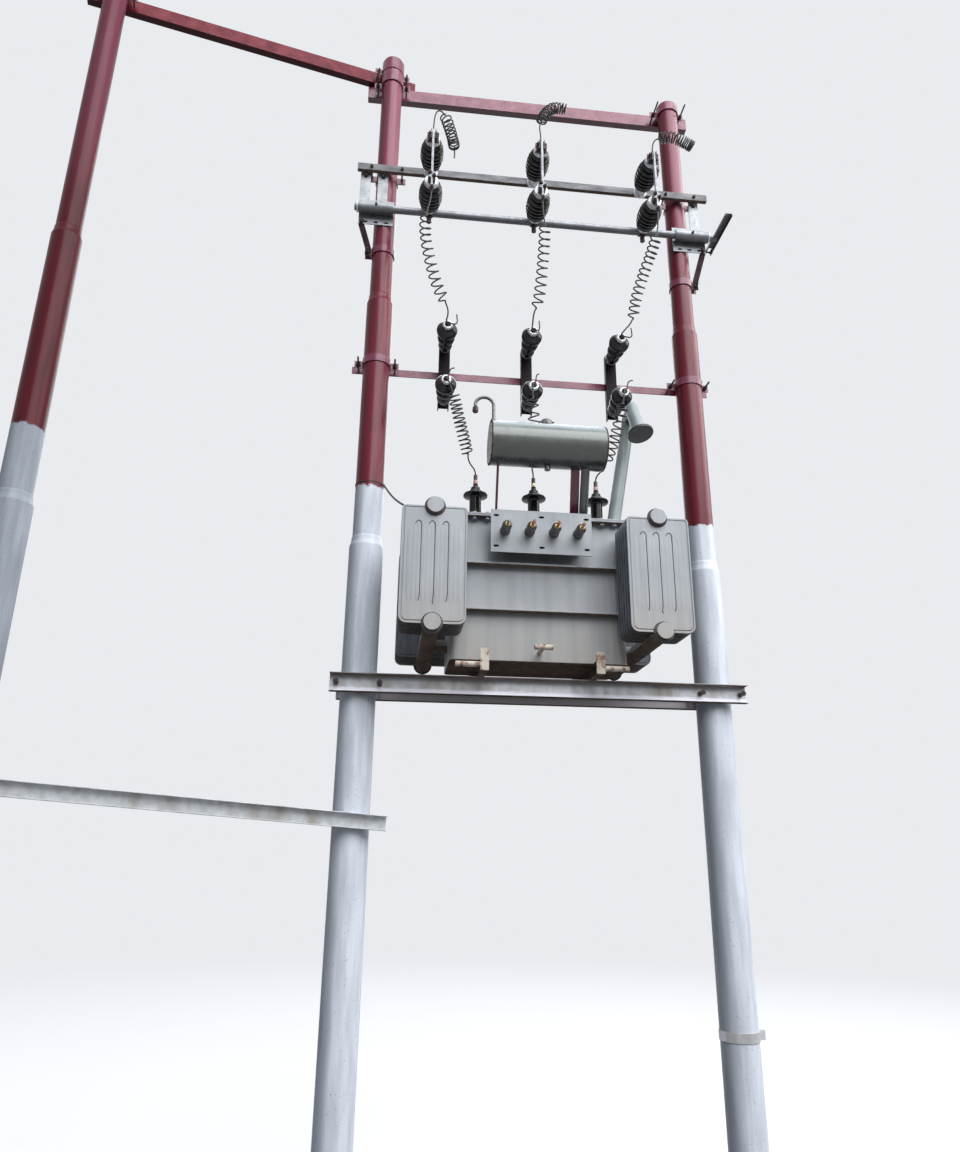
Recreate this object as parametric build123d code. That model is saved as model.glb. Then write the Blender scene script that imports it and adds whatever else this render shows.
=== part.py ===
from build123d import *
import math
import os

# Pole mounted distribution transformer: two swaged tube poles carry a base of two channels,
# an oil filled transformer, a row of horn gap fuses and a gang operated air break switch.
# A third pole stands to the left and is tied to the pair by a top arm and a low brace.
# Frame: millimetres, X along the row of poles, Y away from the viewer, Z up.
# The origin is the middle of the foot of the middle pole, at ground level.

FIT_GAP = 0.3            # air between curved or painted faces that seat on each other

# Poles: swaged steel tubes of three diameters, planted upright
POLE_SPACING = 2000.0
OUTER_POLE_X = -1780.0
OUTER_POLE_Y = -390.0
POLE_LOW_D = 193.7
POLE_MID_D = 165.1
POLE_TOP_D = 139.7
POLE_LOW_END = 3430.0
POLE_MID_END = 5080.0
POLE_TOP = 7109.0
RIGHT_POLE_SET = 60.0     # how much deeper the right pole is planted
RIGHT_POLE_CUT = 80.0     # how much shorter the right pole is at its top
SWAGE = 45.0              # length of the cone at each change of diameter
CAP_T = 6.0

# Rolled channels and angles
TOP_ARM_DEPTH = 100.0
TOP_ARM_FLANGE = 50.0
ARM_WEB = 5.0
TOP_ARM_DROP = 239.0      # from the middle pole's top down to the arm's lower edge
TOP_ARM_Z = POLE_TOP - TOP_ARM_DROP
TOP_ARM_OVERHANG = 170.0
TIE_GAP = 10.0            # air between the top arm and the tie arm above it
TIE_OVERHANG = 180.0
CLAMP_T = 6.0
CLAMP_H = 50.0
CLAMP_EAR = 48.0
CLAMP_EAR_SET = 20.0      # how far the ears stand from the plane of the pole's axis

# Gang operated switch
SWITCH_CHANNEL_DEPTH = 75.0
SWITCH_CHANNEL_FLANGE = 40.0
SWITCH_CHANNEL_Z = 6022.0
SWITCH_OVERHANG = 192.0
HANGER_W = 66.0
HANGER_T = 6.0
HANGER_LEFT_X = (-137.0, -23.0)
HANGER_RIGHT_X = 2106.0
BRACKET_W = 225.0
BRACKET_H = 192.0
BRACKET_CENTRE = 55.0     # how far the bracket's middle stands outside its pole
SHAFT_D = 48.3
SHAFT_Z = 5736.0
SHAFT_OVERHANG = 195.0
SLEEVE_D = 76.0
SLEEVE_CLEAR = 0.1
STRUT_W = 40.0
STRUT_T = 5.0
STRUT_TAB = 45.0
STRUT_CLAMP_Z = 5441.0
BRACKET_SLOT_L = 30.0
BRACKET_SLOT_W = 12.0
BRACKET_SLOT_PITCH = 67.0
BRACKET_SLOT_EDGE = 18.0
PHASE_X = (288.0, 980.0, 1716.0)
POST_L = 250.0
POST_SHED_D = 150.0
POST_CORE_D = 92.0
POST_SHEDS = 6
SHED_ROOT = 0.12          # where a shed starts, as a share of its own pitch
SHED_LIP = 0.42
SHED_LIP_END = 0.6
POST_CAP_D = 74.0
POST_CAP_L = 30.0
PEDESTAL_L = 40.0
PEDESTAL_D = 90.0
SADDLE_W = 90.0
SADDLE_T = 10.0
BLADE_W = 26.0
BLADE_T = 14.0
BLADE_DOWN = 110.0
BLADE_FOOT = 44.0
BLADE_UP = 360.0
JAW_GAP = 5.0
JAW_T = 5.0
JAW_FOOT_T = 10.0
JAW_H = 70.0
CRANK_FRONT = 235.0
CRANK_BACK = 150.0
CRANK_W = 50.0
CRANK_T = 12.0
CRANK_FORK_GAP = 22.0
CRANK_FORK_L = 60.0

# Horn gap fuses on one angle behind the poles
FUSE_ARM_LEG = 50.0
FUSE_ARM_T = 6.0
FUSE_ARM_Z = 4620.0
FUSE_ARM_OVERHANG = 155.0
FUSE_X = (423.0, 950.0, 1505.0)
FUSE_BASE_DEPTH = 70.0
FUSE_BASE_FLANGE = 38.0
FUSE_BASE_Z = 4392.0
FUSE_BASE_L = 470.0
FUSE_POST_INSET = 45.0
FUSE_POST_L = 275.0
FUSE_POST_SHED_D = 130.0
FUSE_POST_CORE_D = 68.0
FUSE_POST_SHEDS = 3
FUSE_CAP_D = 52.0
FUSE_CAP_L = 26.0
HORN_D = 8.0
HORN_RUN = 60.0           # straight start of a horn, and the radius of its bend
HORN_OUT = 50.0
HORN_RISE = 150.0
TERMINAL_SET = 13.0       # how far horn and conductor sit each side of a fuse cap's middle

# Transformer base
BASE_DEPTH = 100.0
BASE_FLANGE = 50.0
BASE_WEB = 6.0
BASE_TOP = 2672.0
BASE_FRONT_OVERHANG = 150.0
BASE_REAR_CUT = 25.0

# Transformer
TANK_X = 965.0
TANK_L = 975.0
TANK_W = 420.0
TANK_H = 812.0
SKID_SPAN = 620.0
SKID_DEPTH = 75.0
SKID_FLANGE = 40.0
SKID_WEB = 6.0
SKID_L = 600.0
TANK_PLATE = 12.0
LUG_W = 46.0
LUG_H = 118.0
LUG_T = 12.0
AXLE_D = 30.0
AXLE_L = 130.0
AXLE_Z = 30.0
STIFFENER_DEPTH = 50.0
STIFFENER_T = 10.0
STIFFENER_Z = (268.0, 532.0)
FLANGE_OUT = 45.0
FLANGE_T = 10.0
COVER_T = 10.0
CORNER_R = 30.0
LV_L = 565.0
LV_H = 250.0
LV_DROP = 245.0           # from the top of the tank's rim down to the plate's lower edge
LV_Y = 110.0
LV_PLATE_T = 8.0
LV_BOX_INSET = 45.0
LV_SLOT = 26.0
LV_SLOT_H = 10.0
LV_SLOT_PITCH = 253.0
LV_SLOT_ROWS = 180.0
LV_PITCH = 136.0
LV_BUSH_D = 56.0
LV_BUSH_L = 45.0
LV_STUD_D = 16.0
LV_STUD_L = 42.0
HV_X = (622.0, 970.0, 1350.0)
HV_Y = -50.0
HV_BASE_D = 78.0
HV_BASE_H = 22.0
HV_BODY_D = 72.0
HV_BODY_START = 30.0
HV_SHED_D = 146.0
HV_SHED_Z = (172.0, 188.0, 197.0, 218.0)
HV_CROWN_D = 58.0
HV_CROWN_Z = 240.0
HV_STEM_D = 24.0
HV_STEM_Z = 250.0
HV_H = 325.0

# Radiators: banks of pressed panels on two headers each side of the tank
RAD_X = 600.0
RAD_W = 338.0
RAD_FRONT = 500.0
RAD_PANELS = 6
RAD_PITCH = 44.0
RAD_PANEL_T = 12.0
RAD_TOP = 3497.0
RAD_BOTTOM = 2862.0
RAD_LOW_R = 42.0
RAD_TOP_R = 16.0
HEADER_D = 88.9
HEADER_CAP = 28.0
BRANCH_D = 76.0

# Conservator and fittings on the cover
CONS_D = 250.0
CONS_L = 650.0
CONS_X = 22.0
CONS_Y = -400.0
CONS_Z = 3940.0
CONS_DISH = 12.0
CONS_RIM = 8.0
FILLER_D = 60.0
FILLER_H = 40.0
FITTING_SINK = 4.0        # how deep a boss is let into the drum
PLUG_D = 34.0
PLUG_L = 26.0
POST_BAR_W = 50.0
POST_BAR_T = 12.0
POST_BAR_TOP = (1150.0, -385.0, 3845.0)
POST_BAR_FOOT = (1178.0, -185.0)
ROD_D = 14.0
ROD_TOP = (711.0, -400.0, 3850.0)
ROD_FOOT = (722.0, -225.0)
OIL_PIPE_D = 50.0
OIL_PIPE_TOP = (1206.0, -400.0, 3850.0)
OIL_PIPE_FOOT = (1222.0, -228.0)
BREATHER_D = 20.0
BREATHER_R = 52.0
BREATHER_TOP = 286.0      # apex of the hook above the drum's middle
BREATHER_TIP = 190.0
BREATHER_INSET = 22.0
VENT_D = 80.0
VENT_FOOT = (1438.0, -60.0)
VENT_KNEE = (1570.0, -60.0, 4330.0)
VENT_CROWN = (1560.0, -180.0, 4335.0)
VENT_MOUTH = (1587.0, -228.0, 4160.0)
VENT_FLANGE_D = 155.0
VENT_FLANGE_T = 16.0
DRAIN_D = 24.0
DRAIN_L = 120.0
DRAIN_BAR_D = 30.0
DRAIN_BAR_L = 100.0
DRAIN_Z = 2800.0

# Low brace to the outer pole and the band on the right pole
BRACE_DEPTH = 75.0
BRACE_FLANGE = 40.0
BRACE_Z = 1880.0
BRACE_RISE = 120.0
BRACE_OVERHANG = 165.0
BAND_H = 45.0
BAND_T = 4.0
BAND_Z = 890.0
BAND_LUG = 34.0
BAND_SPLIT = 8.0
BAND_LUG_SET = 8.0

# Jumpers: curly conductors, drawn as one fat tube of the helix's outer diameter
COIL_D = 80.0
WIRE_D = 9.0
LEAD_DROP = 70.0
LEAD_OUT = 55.0
LEAD_RISE = 44.0


def save(name, *solids):
    shape = solids[0] if len(solids) == 1 else Compound(children=list(solids))
    export_step(shape, f"parts/{name}.step")


def channel_bar(length, depth, flange, web, out):
    """Channel along +X from the origin: web back on Y = 0, flanges to out * flange."""
    outline = Polyline(
        (0, 0), (out * flange, 0), (out * flange, web), (out * web, web),
        (out * web, depth - web), (out * flange, depth - web), (out * flange, depth), (0, depth),
        close=True,
    )
    return extrude(Plane.YZ * make_face(outline), amount=length)


def angle_bar(length, leg, thick, out):
    """Angle along +X: upright leg on Y = 0 from Z = 0 to leg, flat leg at its top."""
    outline = Polyline(
        (0, 0), (out * thick, 0), (out * thick, leg - thick), (out * leg, leg - thick),
        (out * leg, leg), (0, leg),
        close=True,
    )
    return extrude(Plane.YZ * make_face(outline), amount=length)


def half_clamp(radius, side, turn=0.0):
    """Flat bar bent round half of a pole, with an ear each side. side -1 is the viewer's side."""
    inner = radius + FIT_GAP
    outer = inner + CLAMP_T
    ear_y = CLAMP_EAR_SET * -side
    ring = Circle(outer) - Circle(inner)
    keep = Pos(0, (side * outer + ear_y) / 2) * Rectangle(4 * outer, abs(side * outer - ear_y))
    flat = ring & keep
    for way in (-1, 1):
        middle = way * (inner + (CLAMP_T + CLAMP_EAR) / 2)
        flat += Pos(middle, ear_y + side * CLAMP_T / 2) * Rectangle(CLAMP_T + CLAMP_EAR, CLAMP_T)
    return Rot(0, 0, turn) * extrude(flat, amount=CLAMP_H)


def shed_post(length, core_d, shed_d, sheds, cap_d, cap_l):
    """Porcelain post on its own Z: metal foot cap, porcelain with sheds, metal head cap."""
    core = core_d / 2
    body = length - 2 * cap_l
    pitch = body / sheds
    points = [(0, 0), (cap_d / 2, 0), (cap_d / 2, cap_l)]
    for shed in range(sheds):
        foot = cap_l + shed * pitch
        points += [
            (core, foot + pitch * SHED_ROOT),
            (shed_d / 2, foot + pitch * SHED_LIP),
            (shed_d / 2, foot + pitch * SHED_LIP_END),
            (core, foot + pitch * (1 - SHED_ROOT)),
        ]
    points += [(cap_d / 2, length - cap_l), (cap_d / 2, length), (0, length)]
    return revolve(Plane.XZ * make_face(Polyline(*points, close=True)), Axis.Z)


def towards_viewer(solid, x, y, z):
    """Stands a solid that was made on its own Z so that its Z points at the viewer."""
    return Pos(x, y, z) * Rot(90, 0, 0) * solid


def pipe_along(path, diameter):
    start = Plane(origin=path @ 0, z_dir=path % 0)
    return sweep(start * Circle(diameter / 2), path=path)


def bend_radii(points):
    """Largest arcs that the runs of a free conductor allow, printed for the record."""
    radii = []
    for before, here, after in zip(points, points[1:], points[2:]):
        run_in = Vector(*here) - Vector(*before)
        run_out = Vector(*after) - Vector(*here)
        half_turn = math.radians(run_in.get_angle(run_out)) / 2
        radii.append(0.45 * min(run_in.length, run_out.length) / math.tan(half_turn))
    print("  arcs", [round(radius) for radius in radii])
    return radii


def free_tube(points, diameter):
    if len(points) == 2:
        return pipe_along(Line(*points), diameter)
    return pipe_along(FilletPolyline(*points, radius=bend_radii(points)), diameter)


def swaged_pole(low_end, mid_end, top):
    low = POLE_LOW_D / 2
    mid = POLE_MID_D / 2
    thin = POLE_TOP_D / 2
    outline = Polyline(
        (0, 0), (low, 0), (low, low_end), (mid, low_end + SWAGE), (mid, mid_end),
        (thin, mid_end + SWAGE), (thin, top), (0, top),
        close=True,
    )
    return revolve(Plane.XZ * make_face(outline), Axis.Z)


def build_poles():
    right_low = POLE_LOW_END - RIGHT_POLE_SET
    right_mid = POLE_MID_END - RIGHT_POLE_SET
    right_top = POLE_TOP - RIGHT_POLE_SET - RIGHT_POLE_CUT
    pole = swaged_pole(POLE_LOW_END, POLE_MID_END, POLE_TOP)
    save(
        "poles",
        pole,
        Pos(POLE_SPACING, 0, 0) * swaged_pole(right_low, right_mid, right_top),
        Pos(OUTER_POLE_X, OUTER_POLE_Y, 0) * pole,
    )
    cap = extrude(Circle(POLE_TOP_D / 2), amount=CAP_T)
    save(
        "pole_caps",
        Pos(0, 0, POLE_TOP) * cap,
        Pos(POLE_SPACING, 0, right_top) * cap,
        Pos(OUTER_POLE_X, OUTER_POLE_Y, POLE_TOP) * cap,
    )


def tie_turn():
    return math.degrees(math.atan2(-OUTER_POLE_Y, -OUTER_POLE_X))


def build_top_arms():
    length = POLE_SPACING + 2 * TOP_ARM_OVERHANG
    back = POLE_TOP_D / 2 + FIT_GAP
    arm = channel_bar(length, TOP_ARM_DEPTH, TOP_ARM_FLANGE, ARM_WEB, 1)
    save("top_arm", Pos(-TOP_ARM_OVERHANG, back, TOP_ARM_Z) * arm)
    reach = math.hypot(OUTER_POLE_X, OUTER_POLE_Y) + 2 * TIE_OVERHANG
    tie = Pos(-TIE_OVERHANG, back, 0) * channel_bar(reach, TOP_ARM_DEPTH, TOP_ARM_FLANGE, ARM_WEB, 1)
    save("tie_arm", Pos(OUTER_POLE_X, OUTER_POLE_Y, TIE_Z) * Rot(0, 0, tie_turn()) * tie)


def build_arm_clamps():
    """Flat half clamps that hold every arm against its poles."""
    thin = half_clamp(POLE_TOP_D / 2, -1)
    thin_back = half_clamp(POLE_TOP_D / 2, 1)
    thin_tie = half_clamp(POLE_TOP_D / 2, -1, tie_turn())
    thick = half_clamp(POLE_MID_D / 2, -1)
    brace = half_clamp(POLE_LOW_D / 2, 1, tie_turn())
    top_z = TOP_ARM_Z + (TOP_ARM_DEPTH - CLAMP_H) / 2
    tie_z = TIE_Z + (TOP_ARM_DEPTH - CLAMP_H) / 2
    switch_z = SWITCH_CHANNEL_Z + (SWITCH_CHANNEL_DEPTH - CLAMP_H) / 2
    brace_z = BRACE_Z + (BRACE_DEPTH - CLAMP_H) / 2
    save(
        "arm_clamps",
        Pos(0, 0, top_z) * thin,
        Pos(POLE_SPACING, 0, top_z) * thin,
        Pos(0, 0, tie_z) * thin_tie,
        Pos(OUTER_POLE_X, OUTER_POLE_Y, tie_z) * thin_tie,
        Pos(0, 0, switch_z) * thin_back,
        Pos(POLE_SPACING, 0, switch_z) * thin_back,
        Pos(0, 0, FUSE_ARM_Z) * thick,
        Pos(POLE_SPACING, 0, FUSE_ARM_Z) * thick,
        Pos(0, 0, brace_z) * brace,
        Pos(OUTER_POLE_X, OUTER_POLE_Y, brace_z + BRACE_RISE) * brace,
    )


TIE_Z = TOP_ARM_Z + TOP_ARM_DEPTH + TIE_GAP
HANGER_FRONT = -POLE_TOP_D / 2 - FIT_GAP - HANGER_T
CHANNEL_FRONT = HANGER_FRONT - SWITCH_CHANNEL_FLANGE
SHAFT_Y = HANGER_FRONT - FIT_GAP - SLEEVE_D / 2
BRACKET_BOTTOM = SHAFT_Z - BRACKET_H / 2
POST_HEAD_Y = CHANNEL_FRONT - PEDESTAL_L - POST_L
SADDLE_FRONT = SHAFT_Y - SHAFT_D / 2 - SADDLE_T
MOVING_HEAD_Y = SADDLE_FRONT - POST_L
BLADE_BACK = POST_HEAD_Y - JAW_FOOT_T - JAW_GAP
BLADE_Y = BLADE_BACK - BLADE_W / 2
CHANNEL_MIDDLE = SWITCH_CHANNEL_Z + SWITCH_CHANNEL_DEPTH / 2


def build_switch_frame():
    length = POLE_SPACING + 2 * SWITCH_OVERHANG
    bar = channel_bar(length, SWITCH_CHANNEL_DEPTH, SWITCH_CHANNEL_FLANGE, ARM_WEB, 1)
    save("switch_channel", Pos(-SWITCH_OVERHANG, CHANNEL_FRONT, SWITCH_CHANNEL_Z) * bar)
    bracket_top = SHAFT_Z + BRACKET_H / 2
    drop = SWITCH_CHANNEL_Z + SWITCH_CHANNEL_DEPTH - bracket_top
    hangers = []
    for x in HANGER_LEFT_X + (HANGER_RIGHT_X,):
        plate = Box(HANGER_W, HANGER_T, drop)
        hangers.append(Pos(x, HANGER_FRONT + HANGER_T / 2, bracket_top + drop / 2) * plate)
    save("hanger_plates", *hangers)
    brackets = []
    sleeves = []
    struts = []
    clamps = []
    for side, pole_x in ((-1, 0.0), (1, POLE_SPACING)):
        x = pole_x + side * BRACKET_CENTRE
        plate = Box(BRACKET_W, HANGER_T, BRACKET_H)
        slot = Rot(90, 0, 0) * extrude(
            SlotOverall(BRACKET_SLOT_L, BRACKET_SLOT_W), amount=HANGER_T, both=True
        )
        row_z = BRACKET_H / 2 - BRACKET_SLOT_EDGE
        for row in (-1, 1):
            for column in (-1, 0, 1):
                plate -= Pos(column * BRACKET_SLOT_PITCH, 0, row * row_z) * slot
        brackets.append(Pos(x, HANGER_FRONT + HANGER_T / 2, SHAFT_Z) * plate)
        ring = Circle(SLEEVE_D / 2) - Circle(SHAFT_D / 2 + SLEEVE_CLEAR)
        sleeve = extrude(Plane.YZ * ring, amount=BRACKET_W / 2, both=True)
        sleeves.append(Pos(x, SHAFT_Y, SHAFT_Z) * sleeve)
        top_x = x + side * (BRACKET_W - STRUT_W) / 2
        low_x = pole_x + side * (POLE_TOP_D / 2 + CLAMP_T + FIT_GAP + STRUT_W / 2)
        clamp_z = STRUT_CLAMP_Z - (RIGHT_POLE_SET if side > 0 else 0.0)
        struts.append(strut(top_x, low_x, clamp_z))
        clamps.append(Pos(pole_x, 0, clamp_z) * half_clamp(POLE_TOP_D / 2, -1))
        clamps.append(Pos(pole_x, 0, clamp_z) * half_clamp(POLE_TOP_D / 2, 1))
    save("bearing_brackets", *brackets)
    save("shaft_sleeves", *sleeves)
    save("switch_struts", *struts)
    save("strut_clamps", *clamps)


def strut(top_x, low_x, clamp_z):
    """Flat strut with a tab at each end: on a bracket's back, and on the ears of a pole clamp."""
    top_y = HANGER_FRONT + HANGER_T + STRUT_T / 2
    low_y = -CLAMP_EAR_SET - STRUT_T / 2
    stations = [
        (low_x, low_y, clamp_z),
        (low_x, low_y, clamp_z + CLAMP_H),
        (top_x, top_y, BRACKET_BOTTOM),
        (top_x, top_y, BRACKET_BOTTOM + STRUT_TAB),
    ]
    sections = [Pos(*place) * Rectangle(STRUT_W, STRUT_T) for place in stations]
    return loft(sections, ruled=True)


def build_switch_posts():
    post = shed_post(POST_L, POST_CORE_D, POST_SHED_D, POST_SHEDS, POST_CAP_D, POST_CAP_L)
    pedestal = extrude(Circle(PEDESTAL_D / 2), amount=PEDESTAL_L)
    fixed = []
    pedestals = []
    moving = []
    blades = []
    jaws = []
    for x in PHASE_X:
        pedestals.append(towards_viewer(pedestal, x, CHANNEL_FRONT, CHANNEL_MIDDLE))
        fixed.append(towards_viewer(post, x, CHANNEL_FRONT - PEDESTAL_L, CHANNEL_MIDDLE))
        moving.append(towards_viewer(post, x, SADDLE_FRONT, SHAFT_Z))
        blades.append(blade(x))
        jaws.append(jaw(x))
    save("fixed_pedestals", *pedestals)
    save("fixed_insulators", *fixed)
    save("fixed_contacts", *jaws)
    save("moving_insulators", *moving)
    save("switch_blades", *blades)


def blade(x):
    """Flat blade from the head of a moving post up into the jaw of the fixed one."""
    low = SHAFT_Z - BLADE_DOWN
    top = SHAFT_Z + BLADE_UP
    reach = MOVING_HEAD_Y - BLADE_BACK + BLADE_W
    foot = Pos(x, MOVING_HEAD_Y - reach / 2, SHAFT_Z) * Box(BLADE_FOOT, reach, BLADE_FOOT)
    bar = Pos(x, BLADE_Y, (low + top) / 2) * Box(BLADE_T, BLADE_W, top - low)
    return foot + bar


def jaw(x):
    """Two spring plates and their foot on the head of a fixed post."""
    half = BLADE_T / 2 + JAW_GAP
    y = POST_HEAD_Y - JAW_FOOT_T / 2
    solid = Pos(x, y, CHANNEL_MIDDLE) * Box(POST_CAP_D, JAW_FOOT_T, POST_CAP_D)
    reach = POST_HEAD_Y - BLADE_BACK + BLADE_W
    for way in (-1, 1):
        plate = Box(JAW_T, reach, JAW_H)
        solid += Pos(x + way * (half + JAW_T / 2), POST_HEAD_Y - reach / 2, CHANNEL_MIDDLE) * plate
    return solid


def build_shaft():
    length = POLE_SPACING + 2 * SHAFT_OVERHANG
    shaft = extrude(Plane.YZ * Circle(SHAFT_D / 2), amount=length)
    shaft = Pos(-SHAFT_OVERHANG, SHAFT_Y, SHAFT_Z) * shaft
    save("operating_shaft", shaft)
    saddles = []
    for x in PHASE_X:
        block = Pos(x, SHAFT_Y, SHAFT_Z) * Box(SADDLE_W, SHAFT_D + 2 * SADDLE_T, SHAFT_D + 2 * SADDLE_T)
        bore = Pos(x, SHAFT_Y, SHAFT_Z) * Rot(0, 90, 0) * Cylinder(SHAFT_D / 2 + SLEEVE_CLEAR, 2 * SADDLE_W)
        saddles.append(block - bore)
    save("shaft_saddles", *saddles)
    x = POLE_SPACING + SHAFT_OVERHANG + CRANK_T / 2
    reach = CRANK_FRONT + CRANK_BACK
    bar = Box(CRANK_T, reach, CRANK_W)
    fork = Box(2 * CRANK_T, 2 * CRANK_FORK_L, CRANK_FORK_GAP)
    bar -= Pos(0, -reach / 2, 0) * fork
    save("operating_crank", Pos(x, SHAFT_Y + (CRANK_BACK - CRANK_FRONT) / 2, SHAFT_Z) * bar)


FUSE_BACK = POLE_MID_D / 2 + FIT_GAP
FUSE_BASE_FRONT = FUSE_BACK - FUSE_BASE_FLANGE
FUSE_HEAD_Y = FUSE_BASE_FRONT - FUSE_POST_L
FUSE_POST_Z = (FUSE_BASE_Z + FUSE_POST_INSET, FUSE_BASE_Z + FUSE_BASE_L - FUSE_POST_INSET)


def build_fuses():
    length = POLE_SPACING + 2 * FUSE_ARM_OVERHANG
    arm = angle_bar(length, FUSE_ARM_LEG, FUSE_ARM_T, 1)
    save("fuse_arm", Pos(-FUSE_ARM_OVERHANG, FUSE_BACK, FUSE_ARM_Z) * arm)
    base = channel_bar(FUSE_BASE_L, FUSE_BASE_DEPTH, FUSE_BASE_FLANGE, FUSE_ARM_T, 1)
    base = Rot(0, -90, 0) * base
    post = shed_post(
        FUSE_POST_L, FUSE_POST_CORE_D, FUSE_POST_SHED_D, FUSE_POST_SHEDS, FUSE_CAP_D, FUSE_CAP_L
    )
    bases = []
    posts = []
    horns = []
    for x in FUSE_X:
        bases.append(Pos(x + FUSE_BASE_DEPTH / 2, FUSE_BASE_FRONT, FUSE_BASE_Z) * base)
        for z, way in zip(FUSE_POST_Z, (1, -1)):
            posts.append(towards_viewer(post, x, FUSE_BASE_FRONT, z))
            horns.append(horn(x, z, way))
    save("fuse_bases", *bases)
    save("fuse_insulators", *posts)
    save("fuse_horns", *horns)


def horn(x, z, way):
    """Bent rod that leaves the head of a fuse post and curves out and away from its mate."""
    y = FUSE_HEAD_Y - HORN_D / 2
    path = FilletPolyline(
        (x + TERMINAL_SET, y, z), (x + TERMINAL_SET, y, z + way * HORN_RUN),
        (x + TERMINAL_SET, y - HORN_OUT, z + way * HORN_RISE),
        radius=HORN_RUN,
    )
    return pipe_along(path, HORN_D)


SKID_BOTTOM = BASE_TOP
TANK_BOTTOM = SKID_BOTTOM + SKID_DEPTH
TANK_TOP = TANK_BOTTOM + TANK_PLATE + TANK_H
COVER_TOP = TANK_TOP + COVER_T
TANK_FRONT = -TANK_W / 2


def build_base():
    front_y = -POLE_LOW_D / 2 - FIT_GAP
    z = BASE_TOP - BASE_DEPTH
    long = POLE_SPACING + 2 * BASE_FRONT_OVERHANG
    front = channel_bar(long, BASE_DEPTH, BASE_FLANGE, BASE_WEB, -1)
    short = long - 2 * BASE_REAR_CUT
    rear = channel_bar(short, BASE_DEPTH, BASE_FLANGE, BASE_WEB, 1)
    save(
        "base_channels",
        Pos(-BASE_FRONT_OVERHANG, front_y, z) * front,
        Pos(BASE_REAR_CUT - BASE_FRONT_OVERHANG, -front_y, z) * rear,
    )


def build_tank():
    skid_bar = Rot(0, 0, 90) * channel_bar(SKID_L, SKID_DEPTH, SKID_FLANGE, SKID_WEB, 1)
    skids = []
    lugs = []
    for side in (-1, 1):
        x = TANK_X + side * SKID_SPAN / 2
        skid = Pos(x + SKID_FLANGE / 2, -SKID_L / 2, SKID_BOTTOM) * skid_bar
        skids.append(skid)
        for end in (-1, 1):
            y = end * (SKID_L / 2 + LUG_T / 2)
            plate = Pos(x, y, SKID_BOTTOM + LUG_H / 2) * Box(LUG_W, LUG_T, LUG_H)
            stub = Pos(x + side * (LUG_W + AXLE_L) / 2, y, SKID_BOTTOM + AXLE_Z) * Rot(0, 90, 0)
            lugs.append(plate + stub * Cylinder(AXLE_D / 2, AXLE_L))
    save("skids", *skids)
    save("skid_lugs", *lugs)
    shell = extrude(RectangleRounded(TANK_L, TANK_W, CORNER_R), amount=TANK_H - FLANGE_T)
    plate = extrude(RectangleRounded(TANK_L, TANK_W, CORNER_R), amount=TANK_PLATE)
    rim = extrude(Rectangle(TANK_L + 2 * FLANGE_OUT, TANK_W + 2 * FLANGE_OUT), amount=FLANGE_T)
    tank = plate + Pos(0, 0, TANK_PLATE) * shell + Pos(0, 0, TANK_PLATE + TANK_H - FLANGE_T) * rim
    save("tank", Pos(TANK_X, 0, TANK_BOTTOM) * tank)
    bars = []
    for z in STIFFENER_Z:
        outer = RectangleRounded(
            TANK_L + 2 * STIFFENER_DEPTH, TANK_W + 2 * STIFFENER_DEPTH, CORNER_R + STIFFENER_DEPTH
        )
        inner = RectangleRounded(TANK_L + 2 * FIT_GAP, TANK_W + 2 * FIT_GAP, CORNER_R + FIT_GAP)
        bars.append(Pos(TANK_X, 0, TANK_BOTTOM + z) * extrude(outer - inner, amount=STIFFENER_T))
    save("tank_stiffeners", *bars)
    cover = extrude(Rectangle(TANK_L + 2 * FLANGE_OUT, TANK_W + 2 * FLANGE_OUT), amount=COVER_T)
    save("tank_cover", Pos(TANK_X, 0, TANK_TOP) * cover)


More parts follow.
